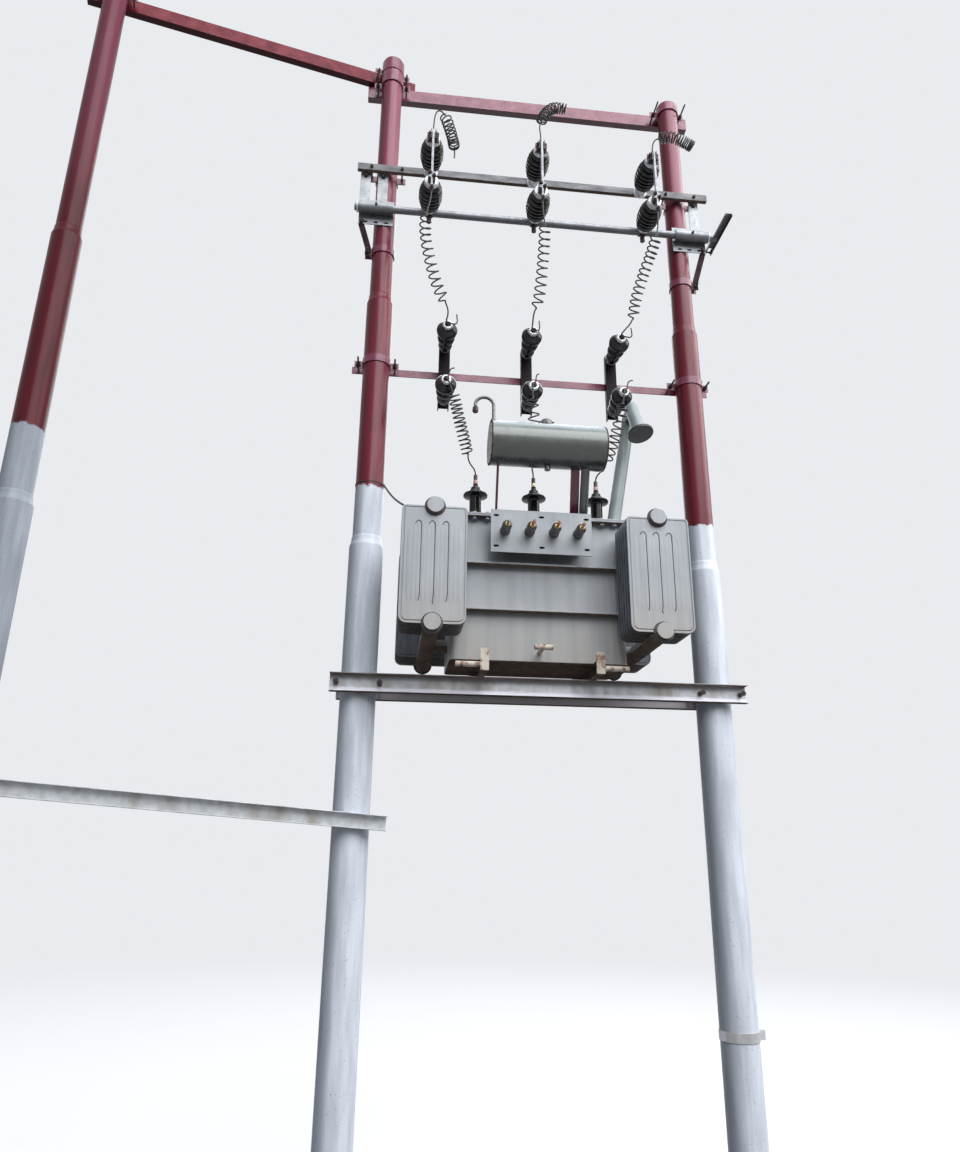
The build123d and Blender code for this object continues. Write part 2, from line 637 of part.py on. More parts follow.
def build_bushings():
    box_l = LV_L - 2 * LV_BOX_INSET
    box_h = LV_H - 2 * LV_BOX_INSET
    low = TANK_FRONT - LV_Y
    box = Box(box_l, LV_Y - LV_PLATE_T - FIT_GAP, box_h)
    box_y = low + LV_PLATE_T + (LV_Y - LV_PLATE_T - FIT_GAP) / 2
    z = TANK_TOP - LV_DROP + LV_H / 2
    plate = Box(LV_L, LV_PLATE_T, LV_H)
    slot = Rot(90, 0, 0) * extrude(SlotOverall(LV_SLOT, LV_SLOT_H), amount=LV_PLATE_T, both=True)
    for column in (-1, 0, 1):
        for row in (-1, 1):
            plate -= Pos(column * LV_SLOT_PITCH, 0, row * LV_SLOT_ROWS / 2) * slot
    pocket = Pos(TANK_X, box_y, z) * box + Pos(TANK_X, low + LV_PLATE_T / 2, z) * plate
    save("lv_pocket", pocket)
    outline = Polyline(
        (0, 0), (LV_BUSH_D / 2, 0), (LV_BUSH_D / 2, LV_BUSH_L * 0.45), (LV_BUSH_D * 0.36, LV_BUSH_L * 0.6),
        (LV_BUSH_D * 0.36, LV_BUSH_L), (LV_STUD_D / 2, LV_BUSH_L),
        (LV_STUD_D / 2, LV_BUSH_L + LV_STUD_L), (0, LV_BUSH_L + LV_STUD_L),
        close=True,
    )
    bush = revolve(Plane.XZ * make_face(outline), Axis.Z)
    row = []
    for index in range(4):
        row.append(towards_viewer(bush, TANK_X + (index - 1.5) * LV_PITCH, low, z))
    save("lv_bushings", *row)
    body = HV_BODY_D / 2
    shed = HV_SHED_D / 2
    stem = HV_STEM_D / 2
    outline = Polyline(
        (0, 0), (HV_BASE_D / 2, 0), (HV_BASE_D / 2, HV_BASE_H), (body, HV_BODY_START),
        (body, HV_SHED_Z[0]), (shed, HV_SHED_Z[1]), (shed, HV_SHED_Z[2]), (body, HV_SHED_Z[3]),
        (HV_CROWN_D / 2, HV_CROWN_Z), (stem, HV_STEM_Z), (stem, HV_H), (0, HV_H),
        close=True,
    )
    bushing = revolve(Plane.XZ * make_face(outline), Axis.Z)
    save("hv_bushings", *[Pos(x, HV_Y, COVER_TOP) * bushing for x in HV_X])


def radiator_panel():
    """One pressed panel, upright in XZ, round at its low corners, open round both headers."""
    height = RAD_TOP - RAD_BOTTOM
    flat = Pos(0, height / 2) * Rectangle(RAD_W, height)
    low = flat.vertices().sort_by(Axis.Y)[:2]
    flat = fillet(low, RAD_LOW_R)
    high = flat.vertices().sort_by(Axis.Y)[-2:]
    flat = fillet(high, RAD_TOP_R)
    bore = Circle(HEADER_D / 2 + FIT_GAP)
    flat -= bore + Pos(0, height) * bore
    return Pos(0, RAD_PANEL_T, 0) * extrude(Plane.XZ * flat, amount=RAD_PANEL_T)


def build_radiators():
    panel = radiator_panel()
    for name, end in (("front", -1), ("rear", 1)):
        panels = []
        for side in (-1, 1):
            for index in range(RAD_PANELS):
                near = -RAD_FRONT + index * RAD_PITCH
                y = near if end < 0 else -near - RAD_PANEL_T
                panels.append(Pos(TANK_X + side * RAD_X, y, RAD_BOTTOM) * panel)
        save(f"radiators_{name}", *panels)
    reach = 2 * (RAD_FRONT + HEADER_CAP)
    headers = []
    for side in (-1, 1):
        for z in (RAD_BOTTOM, RAD_TOP):
            pipe = Rot(90, 0, 0) * Cylinder(HEADER_D / 2, reach)
            gap = RAD_X - TANK_L / 2 - FIT_GAP
            branch = Pos(-side * gap / 2, 0, 0) * Rot(0, 90, 0) * Cylinder(BRANCH_D / 2, gap)
            headers.append(Pos(TANK_X + side * RAD_X, 0, z) * (pipe + branch))
    save("radiator_headers", *headers)


def to_drum(foot, top, diameter):
    """Round bar or pipe that leans forward from the cover to the underside of the drum."""
    sections = [Pos(*foot, COVER_TOP) * Circle(diameter / 2), Pos(*top) * Circle(diameter / 2)]
    return loft(sections, ruled=True)


def build_conservator():
    radius = CONS_D / 2
    outline = Polyline(
        (0, -CONS_L / 2 + CONS_DISH), (radius - CONS_RIM, -CONS_L / 2 + CONS_DISH),
        (radius - CONS_RIM, -CONS_L / 2), (radius, -CONS_L / 2), (radius, CONS_L / 2),
        (radius - CONS_RIM, CONS_L / 2), (radius - CONS_RIM, CONS_L / 2 - CONS_DISH),
        (0, CONS_L / 2 - CONS_DISH),
        close=True,
    )
    drum = Rot(0, 90, 0) * revolve(Plane.XZ * make_face(outline), Axis.Z)
    filler = Pos(0, 0, radius + FILLER_H / 2 - FITTING_SINK) * Cylinder(FILLER_D / 2, FILLER_H)
    plug = Cylinder(PLUG_D / 2, PLUG_L)
    plug_z = radius + PLUG_L / 2 - FITTING_SINK
    hook_x = BREATHER_INSET - CONS_L / 2
    fittings = filler + Pos(0, 0, -plug_z) * plug + Pos(hook_x, 0, plug_z) * plug
    middle_x = TANK_X + CONS_X
    save("conservator", Pos(middle_x, CONS_Y, CONS_Z) * (drum + fittings))
    drum_space = Pos(middle_x, CONS_Y, CONS_Z) * Rot(0, 90, 0) * Cylinder(radius + FIT_GAP, CONS_L)
    bar = loft(
        [Pos(*POST_BAR_FOOT, COVER_TOP) * Rectangle(POST_BAR_W, POST_BAR_T),
         Pos(*POST_BAR_TOP) * Rectangle(POST_BAR_W, POST_BAR_T)],
        ruled=True,
    )
    save("conservator_supports", bar - drum_space, to_drum(ROD_FOOT, ROD_TOP, ROD_D) - drum_space)
    save("oil_pipe", to_drum(OIL_PIPE_FOOT, OIL_PIPE_TOP, OIL_PIPE_D) - drum_space)
    rise = middle_x + hook_x
    tip = rise - 2 * BREATHER_R
    crown = CONS_Z + BREATHER_TOP
    path = FilletPolyline(
        (rise, CONS_Y, CONS_Z + radius + PLUG_L - FITTING_SINK), (rise, CONS_Y, crown),
        (tip, CONS_Y, crown), (tip, CONS_Y, CONS_Z + BREATHER_TIP),
        radius=BREATHER_R - 1,
    )
    save("breather_pipe", pipe_along(path, BREATHER_D))


def build_vent():
    """Relief pipe that leans up from the cover and turns down in two mitred bends to its disc."""
    foot = Vector(*VENT_FOOT, COVER_TOP)
    under = foot - (Vector(*VENT_KNEE) - foot).normalized() * VENT_D
    path = Polyline(tuple(under), VENT_KNEE, VENT_CROWN, VENT_MOUTH)
    start = Plane(origin=path @ 0, z_dir=path % 0)
    pipe = sweep(start * Circle(VENT_D / 2), path=path, transition=Transition.RIGHT)
    disc = Plane(origin=path @ 1, z_dir=path % 1) * extrude(Circle(VENT_FLANGE_D / 2), amount=VENT_FLANGE_T)
    pipe -= Pos(foot.X, foot.Y, COVER_TOP - VENT_D) * Box(4 * VENT_D, 4 * VENT_D, 2 * VENT_D)
    save("explosion_vent", pipe + disc)


def build_drain():
    stem = towards_viewer(Pos(0, 0, DRAIN_L / 2) * Cylinder(DRAIN_D / 2, DRAIN_L), TANK_X, TANK_FRONT, DRAIN_Z)
    bar = Pos(TANK_X, TANK_FRONT - DRAIN_L, DRAIN_Z) * Rot(0, 90, 0) * Cylinder(DRAIN_BAR_D / 2, DRAIN_BAR_L)
    save("drain_valve", stem + bar)


def build_brace():
    radius = POLE_LOW_D / 2
    span = math.hypot(OUTER_POLE_X, OUTER_POLE_Y)
    slope = math.degrees(math.atan2(BRACE_RISE, span))
    bar = channel_bar(span + 2 * BRACE_OVERHANG, BRACE_DEPTH, BRACE_FLANGE, ARM_WEB, -1)
    bar = Pos(-BRACE_OVERHANG, -radius - FIT_GAP, 0) * bar
    bar = Pos(OUTER_POLE_X, OUTER_POLE_Y, BRACE_Z + BRACE_RISE) * Rot(0, 0, tie_turn()) * Rot(0, slope, 0) * bar
    save("lower_brace", bar)
    ring = Circle(radius + FIT_GAP + BAND_T) - Circle(radius + FIT_GAP)
    reach = radius + FIT_GAP + BAND_T / 2
    for way in (-1, 1):
        ring += Pos(reach + BAND_LUG / 2, way * BAND_LUG_SET) * Rectangle(BAND_LUG, BAND_T)
    ring -= Pos(radius, 0) * Rectangle(4 * BAND_T, BAND_SPLIT)
    band = extrude(ring, amount=BAND_H)
    save("pole_band", Pos(POLE_SPACING, 0, BAND_Z) * band)


def between(a, b, share):
    return tuple(p + share * (q - p) for p, q in zip(a, b))


def jumper(name, route, coil_from, coil_to=None):
    """Curly conductor along a route: thin leads, and the fat tube that its helix fits.

    coil_from and coil_to are a run's number and the share of that run where the coil starts or ends.
    """
    print(name)
    run, share = coil_from
    start = between(route[run], route[run + 1], share)
    solids = [free_tube(route[:run + 1] + [start], WIRE_D)]
    if coil_to is None:
        solids.append(free_tube([start] + route[run + 1:], COIL_D))
    else:
        last, last_share = coil_to
        end = between(route[last], route[last + 1], last_share)
        solids.append(free_tube([start] + route[run + 1:last + 1] + [end], COIL_D))
        solids.append(free_tube([end] + route[last + 1:], WIRE_D))
    save(name, *solids)


def build_switch_jumpers():
    """From the foot of each blade down to the upper fuse cap of its phase."""
    low = SHAFT_Z - BLADE_DOWN
    z = FUSE_POST_Z[1]
    bends = {
        "left": [(262, -432, 5462), (256, -428, 5300), (296, -405, 5120), (350, -362, 4960),
                 (428, -305, 4862)],
        "middle": [(992, -432, 5462), (988, -428, 5310), (974, -405, 5110), (966, -352, 4958),
                   (932, -302, 4870)],
        "right": [(1706, -432, 5470), (1676, -426, 5350), (1605, -400, 5150), (1560, -345, 4985),
                  (1558, -300, 4880)],
    }
    for (name, middle), x, fuse_x in zip(bends.items(), PHASE_X, FUSE_X):
        terminal = fuse_x - TERMINAL_SET
        ends = [(terminal, FUSE_HEAD_Y - LEAD_OUT, z), (terminal, FUSE_HEAD_Y, z)]
        start = [(x, BLADE_Y, low), (x, BLADE_Y, low - LEAD_DROP)]
        jumper(f"switch_jumper_{name}", start + middle + ends, (2, 0.4), (5, 0.4))


def build_fuse_jumpers():
    """From the lower fuse cap of each phase down to the bushing of that phase."""
    z = FUSE_POST_Z[0]
    top = COVER_TOP + HV_H
    bends = {
        "left": [(450, -296, 4345), (506, -215, 4172), (572, -92, 4012), (578, -66, 3965)],
        "middle": [(925, -296, 4345), (950, -215, 4172), (968, -110, 4010), (950, -78, 3975)],
        "right": [(1478, -296, 4345), (1440, -250, 4135), (1398, -110, 3995), (1385, -78, 3960)],
    }
    for (name, middle), x, fuse_x in zip(bends.items(), HV_X, FUSE_X):
        terminal = fuse_x - TERMINAL_SET
        start = [(terminal, FUSE_HEAD_Y, z), (terminal, FUSE_HEAD_Y - LEAD_OUT, z)]
        ends = [(x, HV_Y, top + LEAD_RISE), (x, HV_Y, top)]
        jumper(f"fuse_jumper_{name}", start + middle + ends, (2, 0.1), (3, 0.92))


def build_line_tails():
    """Bare tails that stand up from the fixed contacts, where a line would be joined."""
    low = CHANNEL_MIDDLE + POST_CAP_D / 2
    y = POST_HEAD_Y - JAW_FOOT_T / 2
    bends = {
        "left": [(300, -415, 6285), (348, -420, 6285), (433, -420, 5985), (424, -420, 5905)],
        "middle": [(966, -418, 6235), (1006, -420, 6338), (1046, -420, 6386), (1100, -420, 6404),
                   (1146, -420, 6390)],
        "right": [(1735, -416, 6225), (1790, -420, 6240), (1860, -424, 6250), (1925, -424, 6222),
                  (1985, -424, 6185)],
    }
    coils = {"left": ((3, 0.12), (3, 0.97)), "middle": ((2, 0.4), None), "right": ((2, 0.6), None)}
    for (name, points), x in zip(bends.items(), PHASE_X):
        route = [(x, y, low), (x, y, low + LEAD_DROP)] + points
        jumper(f"line_tail_{name}", route, *coils[name])


os.makedirs("parts", exist_ok=True)
build_poles()
build_top_arms()
build_arm_clamps()
build_switch_frame()
build_switch_posts()
build_shaft()
build_fuses()
build_base()
build_tank()
build_bushings()
build_radiators()
build_conservator()
build_vent()
build_drain()
build_brace()
build_switch_jumpers()
build_fuse_jumpers()
build_line_tails()
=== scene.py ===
import bpy
import math
import random
from mathutils import Matrix, Vector


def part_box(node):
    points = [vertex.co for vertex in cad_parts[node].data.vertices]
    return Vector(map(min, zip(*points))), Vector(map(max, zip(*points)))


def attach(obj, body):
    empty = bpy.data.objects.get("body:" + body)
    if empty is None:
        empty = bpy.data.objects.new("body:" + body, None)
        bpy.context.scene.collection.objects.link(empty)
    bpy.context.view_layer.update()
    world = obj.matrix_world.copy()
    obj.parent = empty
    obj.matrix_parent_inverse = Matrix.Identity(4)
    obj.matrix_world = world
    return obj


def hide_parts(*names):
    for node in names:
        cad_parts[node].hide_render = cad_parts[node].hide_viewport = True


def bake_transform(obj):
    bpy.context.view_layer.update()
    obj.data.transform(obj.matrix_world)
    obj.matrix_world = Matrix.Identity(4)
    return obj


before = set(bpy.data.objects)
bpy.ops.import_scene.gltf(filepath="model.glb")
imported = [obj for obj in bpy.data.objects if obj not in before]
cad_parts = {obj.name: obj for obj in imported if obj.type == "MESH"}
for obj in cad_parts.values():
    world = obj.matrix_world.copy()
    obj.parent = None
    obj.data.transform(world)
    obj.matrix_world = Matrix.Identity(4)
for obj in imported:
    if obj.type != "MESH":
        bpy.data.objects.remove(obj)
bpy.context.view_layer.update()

# Poles: swaged steel tube in three diameters, each cone closed by a bead of weld.
# Aluminium paint up to above head height, maroon gloss enamel over it, brushed on by hand.
POLE_SIDES = 64
LOW_R, MID_R, THIN_R = 0.09685, 0.08255, 0.06985
SWAGE, BEAD = 0.045, 0.004
MAIN_TONES = ("#E0E6F0", "#C2C8D2", "#74182F", "#5A1225", 1.0)
# The outer pole has the same paints; its darker, duller tones and half gloss are painted shade.
OUTER_SHADED_TONES = ("#8A919B", "#A3A9B3", "#56111E", "#420D17", 0.5)


def linear(hex_colour):
    """Colour written as sRGB hex, as the shaders take it."""
    shares = [int(hex_colour[i:i + 2], 16) / 255 for i in (1, 3, 5)]
    return (*[s / 12.92 if s <= 0.04045 else ((s + 0.055) / 1.055) ** 2.4 for s in shares], 1.0)


def add_node(material, kind, sockets=None, **settings):
    """One shader node. sockets gives its inputs, each a value or another node's output."""
    node = material.node_tree.nodes.new("ShaderNode" + kind)
    for name, value in settings.items():
        setattr(node, name, value)
    for name, value in (sockets or {}).items():
        if isinstance(value, bpy.types.NodeSocket):
            material.node_tree.links.new(value, node.inputs[name])
        else:
            node.inputs[name].default_value = value
    return node


def new_finish(name, **constants):
    """A material whose shader has its constant sockets set. Returns it and that shader."""
    material = bpy.data.materials.new(name)
    material.use_nodes = True
    shader = material.node_tree.nodes["Principled BSDF"]
    for socket, value in constants.items():
        shader.inputs[socket.replace("_", " ")].default_value = value
    return material, shader


def patches(material, size_mm, low, high, stretch=(1, 1, 1), detail=4.0):
    """A soft mask from 0 to 1 whose blotches are about size_mm across."""
    place = add_node(material, "TexCoord").outputs["Object"]
    if stretch != (1, 1, 1):
        place = add_node(material, "Mapping", {"Vector": place, "Scale": stretch}).outputs["Vector"]
    noise = add_node(material, "TexNoise", {"Vector": place, "Scale": 1000 / size_mm, "Detail": detail})
    ramp = add_node(material, "MapRange", {"Value": noise.outputs["Fac"], "From Min": low, "From Max": high})
    return ramp.outputs["Result"]


def ranging(material, start, full, most=1.0, source="Normal", axis="Z"):
    """Mask from start to full of the way a surface faces along an axis, or with Object of its place."""
    along = add_node(material, "SeparateXYZ", {"Vector": add_node(material, "TexCoord").outputs[source]})
    return add_node(material, "MapRange", {
        "Value": along.outputs[axis], "From Min": start, "From Max": full, "To Max": most,
    }).outputs["Result"]


def blend_colours(material, mask, first, second):
    """Colour that goes from first to second with the mask. Either may be hex or an output."""
    sockets = {"Factor": mask}
    for index, colour in ((6, first), (7, second)):
        sockets[index] = linear(colour) if isinstance(colour, str) else colour
    return add_node(material, "Mix", sockets, data_type="RGBA").outputs[2]


def surface(material, shader, colour, roughness, bump, bump_mm):
    """Links a finish's colour, its roughness as an output or as (mask, low, high), and its relief."""
    link = material.node_tree.links.new
    link(colour, shader.inputs["Base Color"])
    if isinstance(roughness, tuple):
        mask, low, high = roughness
        spread = add_node(material, "MapRange", {"Value": mask, "To Min": low, "To Max": high})
        roughness = spread.outputs["Result"]
    link(roughness, shader.inputs["Roughness"])
    relief = add_node(material, "Bump", {"Height": bump, "Distance": bump_mm / 1000, "Strength": 1.0})
    link(relief.outputs["Normal"], shader.inputs["Normal"])
    return material


def finish(name, blotch, tones, rough, grain, *tints, **constants):
    """A finish in two tones whose blotches also differ in gloss. Each tint is a mask's function, its
    settings and a colour, and grain is the size and height in mm of the fine relief."""
    material, shader = new_finish(name, **constants)
    mask = patches(material, *blotch)
    colour = blend_colours(material, mask, *tones)
    for kind, *settings, tone in tints:
        colour = blend_colours(material, kind(material, *settings), colour, tone)
    size_mm, height_mm = grain
    return surface(material, shader, colour, (mask, *rough), patches(material, size_mm, 0.3, 0.7), height_mm)


def nothing_selected():
    if bpy.context.object and bpy.context.object.mode != "OBJECT":
        bpy.ops.object.mode_set(mode="OBJECT")
    bpy.ops.object.select_all(action="DESELECT")


def take(piece):
    nothing_selected()
    piece.select_set(True)
    bpy.context.view_layer.objects.active = piece


def close_outward():
    """Turns all faces of the piece in edit mode outwards, and ends the edit."""
    bpy.ops.mesh.select_all(action="SELECT")
    bpy.ops.mesh.normals_make_consistent(inside=False)
    bpy.ops.object.mode_set(mode="OBJECT")


def turned(profile, sides=48):
    """Round work: a disc extruded and resized from station to station, each (radius, height) in metres."""
    nothing_selected()
    radius, height = profile[0]
    bpy.ops.mesh.primitive_circle_add(vertices=sides, radius=radius, fill_type="NGON", location=(0, 0, height))
    piece = bpy.context.object
    bpy.ops.object.transform_apply(location=True, rotation=True, scale=True)
    bpy.ops.object.mode_set(mode="EDIT")
    for (old_r, old_z), (new_r, new_z) in zip(profile, profile[1:]):
        bpy.ops.mesh.extrude_region_move(TRANSFORM_OT_translate={"value": (0, 0, new_z - old_z)})
        bpy.ops.transform.resize(value=(new_r / old_r, new_r / old_r, 1), center_override=(0, 0, new_z))
    close_outward()
    return piece


def settle(piece, name, coats, body="structure", replaces=()):
    """Fixes a finished piece in place: its transform into its mesh, its finish, and what it rides on."""
    take(piece)
    bpy.ops.object.transform_apply(location=True, rotation=True, scale=True)
    piece.name = name
    piece.data.materials.clear()
    for coat in coats if isinstance(coats, list) else [coats]:
        piece.data.materials.append(coat)
    bpy.ops.object.shade_smooth_by_angle(angle=math.radians(32))
    flat = piece.modifiers.new("flat", "WEIGHTED_NORMAL")
    flat.keep_sharp = True
    bpy.ops.object.modifier_apply(modifier=flat.name)
    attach(piece, body)
    if replaces:
        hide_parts(*replaces)
    return piece


def dirt_and_shade_below(piece, steepest=-0.7):
    """Gives the faces that look down a dull brown, partly dirt that rain never reaches and partly painted shade, as
    the piece's next material.
    """
    piece.data.materials.append(dirt_and_shade_coat)
    last = len(piece.data.materials) - 1
    for face in piece.data.polygons:
        if face.normal.z < steepest:
            face.material_index = last


def copies(model, places):
    """One object of many copies of a model, each with its own mesh. The model itself is used up."""
    made = []
    for place in places:
        twin = bpy.data.objects.new("copy", model.data.copy())
        bpy.context.scene.collection.objects.link(twin)
        twin.data.transform(place @ model.matrix_basis)
        made.append(twin)
    bpy.data.objects.remove(model)
    return joined(made)


def joined(pieces):
    nothing_selected()
    for piece in pieces:
        piece.select_set(True)
    bpy.context.view_layer.objects.active = pieces[0]
    if len(pieces) > 1:
        bpy.ops.object.join()
    return bpy.context.object


def pole_enamel(name, change_height, silver_pale, silver_dark, red_pale, red_dark, gloss):
    """Two hand brushed paints on one tube: dull aluminium below, maroon gloss above, dusty and run."""
    material, shader = new_finish(name, Coat_Roughness=0.2, Specular_IOR_Level=0.2 * gloss)
    streaks = patches(material, 45, 0.35, 0.7, (1, 1, 0.12))
    silver = blend_colours(material, streaks, silver_pale, silver_dark)
    silver = blend_colours(material, patches(material, 7, 0.66, 0.72, detail=6), silver, "#5E5A56")
    # Faces turned to the left, away from the lamps, are painted a darker grey: painted shade.
    silver = blend_colours(material, ranging(material, -0.3, -0.95, 0.75, axis="X"), silver, "#6C7078")
    red = blend_colours(material, streaks, red_pale, red_dark)
    # From 5.2 m up the maroon is painted a paler lavender: painted reflection of the sky.
    red = blend_colours(material, ranging(material, 5.2, 6.1, 0.6 * gloss, "Object"), red, "#8A4A62")
    # The side turned away from the lamps is painted a deeper red and loses its coat: painted shade.
    shaded_side = ranging(material, -0.1, -0.85, axis="X")
    red = blend_colours(material, shaded_side, red, "#560F1B")
    shine = add_node(material, "MapRange", {"Value": shaded_side, "To Min": gloss * 0.22, "To Max": 0.0})
    material.node_tree.links.new(shine.outputs["Result"], shader.inputs["Coat Weight"])
    place = add_node(material, "TexCoord").outputs["Object"]
    height = add_node(material, "SeparateXYZ", {"Vector": place}).outputs["Z"]
    ragged = patches(material, 60, 0.35, 0.65)
    edge = add_node(material, "Math", {0: ragged, 1: 0.03, 2: height}, operation="MULTIPLY_ADD").outputs[0]
    above = add_node(material, "MapRange", {
        "Value": edge, "From Min": change_height, "From Max": change_height + 0.012,
    }).outputs["Result"]
    smoother = add_node(material, "MapRange", {"Value": above, "To Min": 0.45, "To Max": 0.28}).outputs["Result"]
    rough = add_node(material, "Math", {0: streaks, 1: 0.12, 2: smoother}, operation="MULTIPLY_ADD").outputs[0]
    brushed = patches(material, 5, 0.3, 0.7, (1, 1, 0.06))
    return surface(material, shader, blend_colours(material, above, silver, red), rough, brushed, 0.25)


def swaged_tube(low_end, mid_end, top):
    """Outline of a pole from the ground up, with a rounded bead where two tubes are welded."""
    outline = [(LOW_R, 0.0), (LOW_R, low_end - 0.2)]
    for big, small, end in ((LOW_R, MID_R, low_end), (MID_R, THIN_R, mid_end)):
        outline += [
            (big, end - 0.004), (big - 0.001, end), (big - 0.6 * (big - small), end + 0.55 * SWAGE),
            (small + BEAD, end + SWAGE - 0.004), (small + BEAD, end + SWAGE + 0.004),
            (small + 0.001, end + SWAGE + 0.009), (small, end + SWAGE + 0.012),
        ]
    return outline + [(THIN_R, top - 0.3), (THIN_R, top)]


# Dull brown for faces that look down: partly dirt, partly painted shade.
dirt_and_shade_coat = finish("brown_dirt_and_painted_shade", (40, 0.35, 0.75), ("#8E7F74", "#6E625A"), (0.8, 1.0), (3, 0.3),
                  Specular_IOR_Level=0.0)
middle_pole = Matrix.Identity(4)
right_pole = Matrix.Translation((2.0, 0, 0))
outer_pole = Matrix.Translation((-1.78, -0.39, 0))
pole_tops = []
for name, foot, low_end, mid_end, top, change, tones in (
    ("pole_middle", middle_pole, 3.430, 5.080, 7.109, 3.80, MAIN_TONES),
    ("pole_right", right_pole, 3.370, 5.020, 6.969, 3.66, MAIN_TONES),
    ("pole_outer", outer_pole, 3.430, 5.080, 7.109, 3.86, OUTER_SHADED_TONES),
):
    pole = turned(swaged_tube(low_end, mid_end, top), POLE_SIDES)
    pole.location = foot.translation
    settle(pole, name, pole_enamel(name + "_enamel", change, *tones), replaces=["poles"])
    pole_tops.append(foot @ Matrix.Translation((0, 0, top)))

# Caps: flat steel discs tack welded on the pole tops to keep the rain out, painted with the poles.
# The rolled bars have the same maroon, a darker, duller copy on the tie arm as painted shade, and faces that look
# down painted near black as painted shade.
maroon, shaded_maroon = [
    finish(name, (70, 0.35, 0.7), tones, (0.25, 0.42), (6, 0.08),
           (patches, 9, 0.68, 0.73, (1, 1, 1), 6, "#3A2A2C"), (ranging, -0.2, -0.9, 0.6, "#2A1018"),
           Coat_Weight=coat, Coat_Roughness=0.25, Specular_IOR_Level=specular)
    for name, tones, coat, specular in (
        ("maroon_gloss_enamel", ("#7A2A4A", "#611C36"), 0.3, 0.35),
        ("maroon_enamel_painted_shade", ("#761629", "#5A101F"), 0.05, 0.12),
    )
]
cap = turned([(THIN_R, 0.0), (THIN_R + 0.0002, 0.0045), (THIN_R - 0.0015, 0.006)], POLE_SIDES)
settle(copies(cap, pole_tops), "pole_caps_dressed", maroon, replaces=["pole_caps"])


# Top arm and tie arm: rolled steel channels behind the poles, cut square and painted with them.
# The tie arm runs on from the middle pole to the third one.
def dress(node, ease_mm, name, coats, body="structure"):
    """A CAD piece with its corners eased, as rolled, cut and painted steel has them."""
    piece = bpy.data.objects.new(name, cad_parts[node].data.copy())
    bpy.context.scene.collection.objects.link(piece)
    take(piece)
    bpy.ops.mesh.customdata_custom_splitnormals_clear()
    bpy.ops.object.mode_set(mode="EDIT")
    bpy.ops.mesh.select_all(action="SELECT")
    bpy.ops.mesh.remove_doubles(threshold=0.00002)
    bpy.ops.mesh.dissolve_limited(angle_limit=math.radians(1))
    bpy.ops.object.mode_set(mode="OBJECT")
    ease = piece.modifiers.new("ease", "BEVEL")
    ease.width = ease_mm / 1000
    ease.segments = 2
    ease.limit_method = "ANGLE"
    ease.angle_limit = math.radians(50)
    bpy.ops.object.modifier_apply(modifier=ease.name)
    return settle(piece, name, coats, body, [node])


dress("top_arm", 2.0, "top_arm_channel", maroon)
# The tie arm takes the darker, duller copy of the maroon: painted shade.
dress("tie_arm", 2.0, "tie_arm_channel", shaded_maroon)

# Half clamps: flat bar forged round half of a pole, drawn up by long threaded rods with nuts.
# The rods were never cut back, so their dark threads stand out towards the front.
dress("arm_clamps", 1.2, "arm_half_clamps", maroon)
BAND_BORE_R, BAND_R, BAND_LIP = THIN_R + 0.0005, THIN_R + 0.0072, 0.0015
bands = []
for pole, low, high in (
    (middle_pole, 6.893, 6.999), (middle_pole, 7.003, 7.100), (right_pole, 6.893, 6.962),
    (outer_pole, 7.003, 7.100),
):
    band = turned([
        (BAND_BORE_R, low), (BAND_R, low), (BAND_R + BAND_LIP, low + 0.002), (BAND_R + BAND_LIP, low + 0.006),
        (BAND_R, low + 0.009), (BAND_R, high - 0.003), (BAND_BORE_R, high),
    ], POLE_SIDES)
    bands.append(copies(band, [pole]))
settle(joined(bands), "pole_top_bands", maroon)

bolt_steel = finish("rusted_bolt_steel", (6, 0.4, 0.7), ("#4A4547", "#3A2320"), (0.45, 0.75), (1.5, 0.15),
                    Metallic=0.75)
ROD_R = 0.006
THREAD_PITCH = 0.004       # drawn coarser than the real 1.75 mm, which is too fine to show
NUT_R, NUT_H = 0.0115, 0.010


def nut(at, radius=NUT_R, height=NUT_H):
    """Hexagon with its corners taken off at both faces."""
    return turned([
        (radius * 0.88, at), (radius, at + 0.12 * height), (radius, at + 0.88 * height),
        (radius * 0.88, at + height),
    ], 6)


def threaded_rod(length, nuts=(), radius=ROD_R):
    """Rod from its tail at 0 to its tip, threaded all along, with nuts and washers at the given heights."""
    outline = [(radius * 0.8, 0.0)]
    for turn in range(int(length / THREAD_PITCH)):
        foot = turn * THREAD_PITCH
        outline += [(radius, foot + THREAD_PITCH * 0.4), (radius * 0.8, foot + THREAD_PITCH)]
    parts = [turned(outline, 10)]
    for at in nuts:
        parts.append(nut(at))
        parts.append(turned([(NUT_R * 1.3, at - 0.0025), (NUT_R * 1.3, at - 0.0002)], 16))
    return joined(parts)


def fasten(name, places, length, nuts, body="structure"):
    """The same threaded rod at each of the places."""
    settle(copies(threaded_rod(length, nuts), places), name, bolt_steel, body)


def facing_viewer(x, y, z):
    """Place whose own up axis points at the viewer."""
    return Matrix.Translation((x, y, z)) @ Matrix.Rotation(math.pi / 2, 4, "X")


def facing_back(x, y, z):
    return Matrix.Translation((x, y, z)) @ Matrix.Rotation(-math.pi / 2, 4, "X")


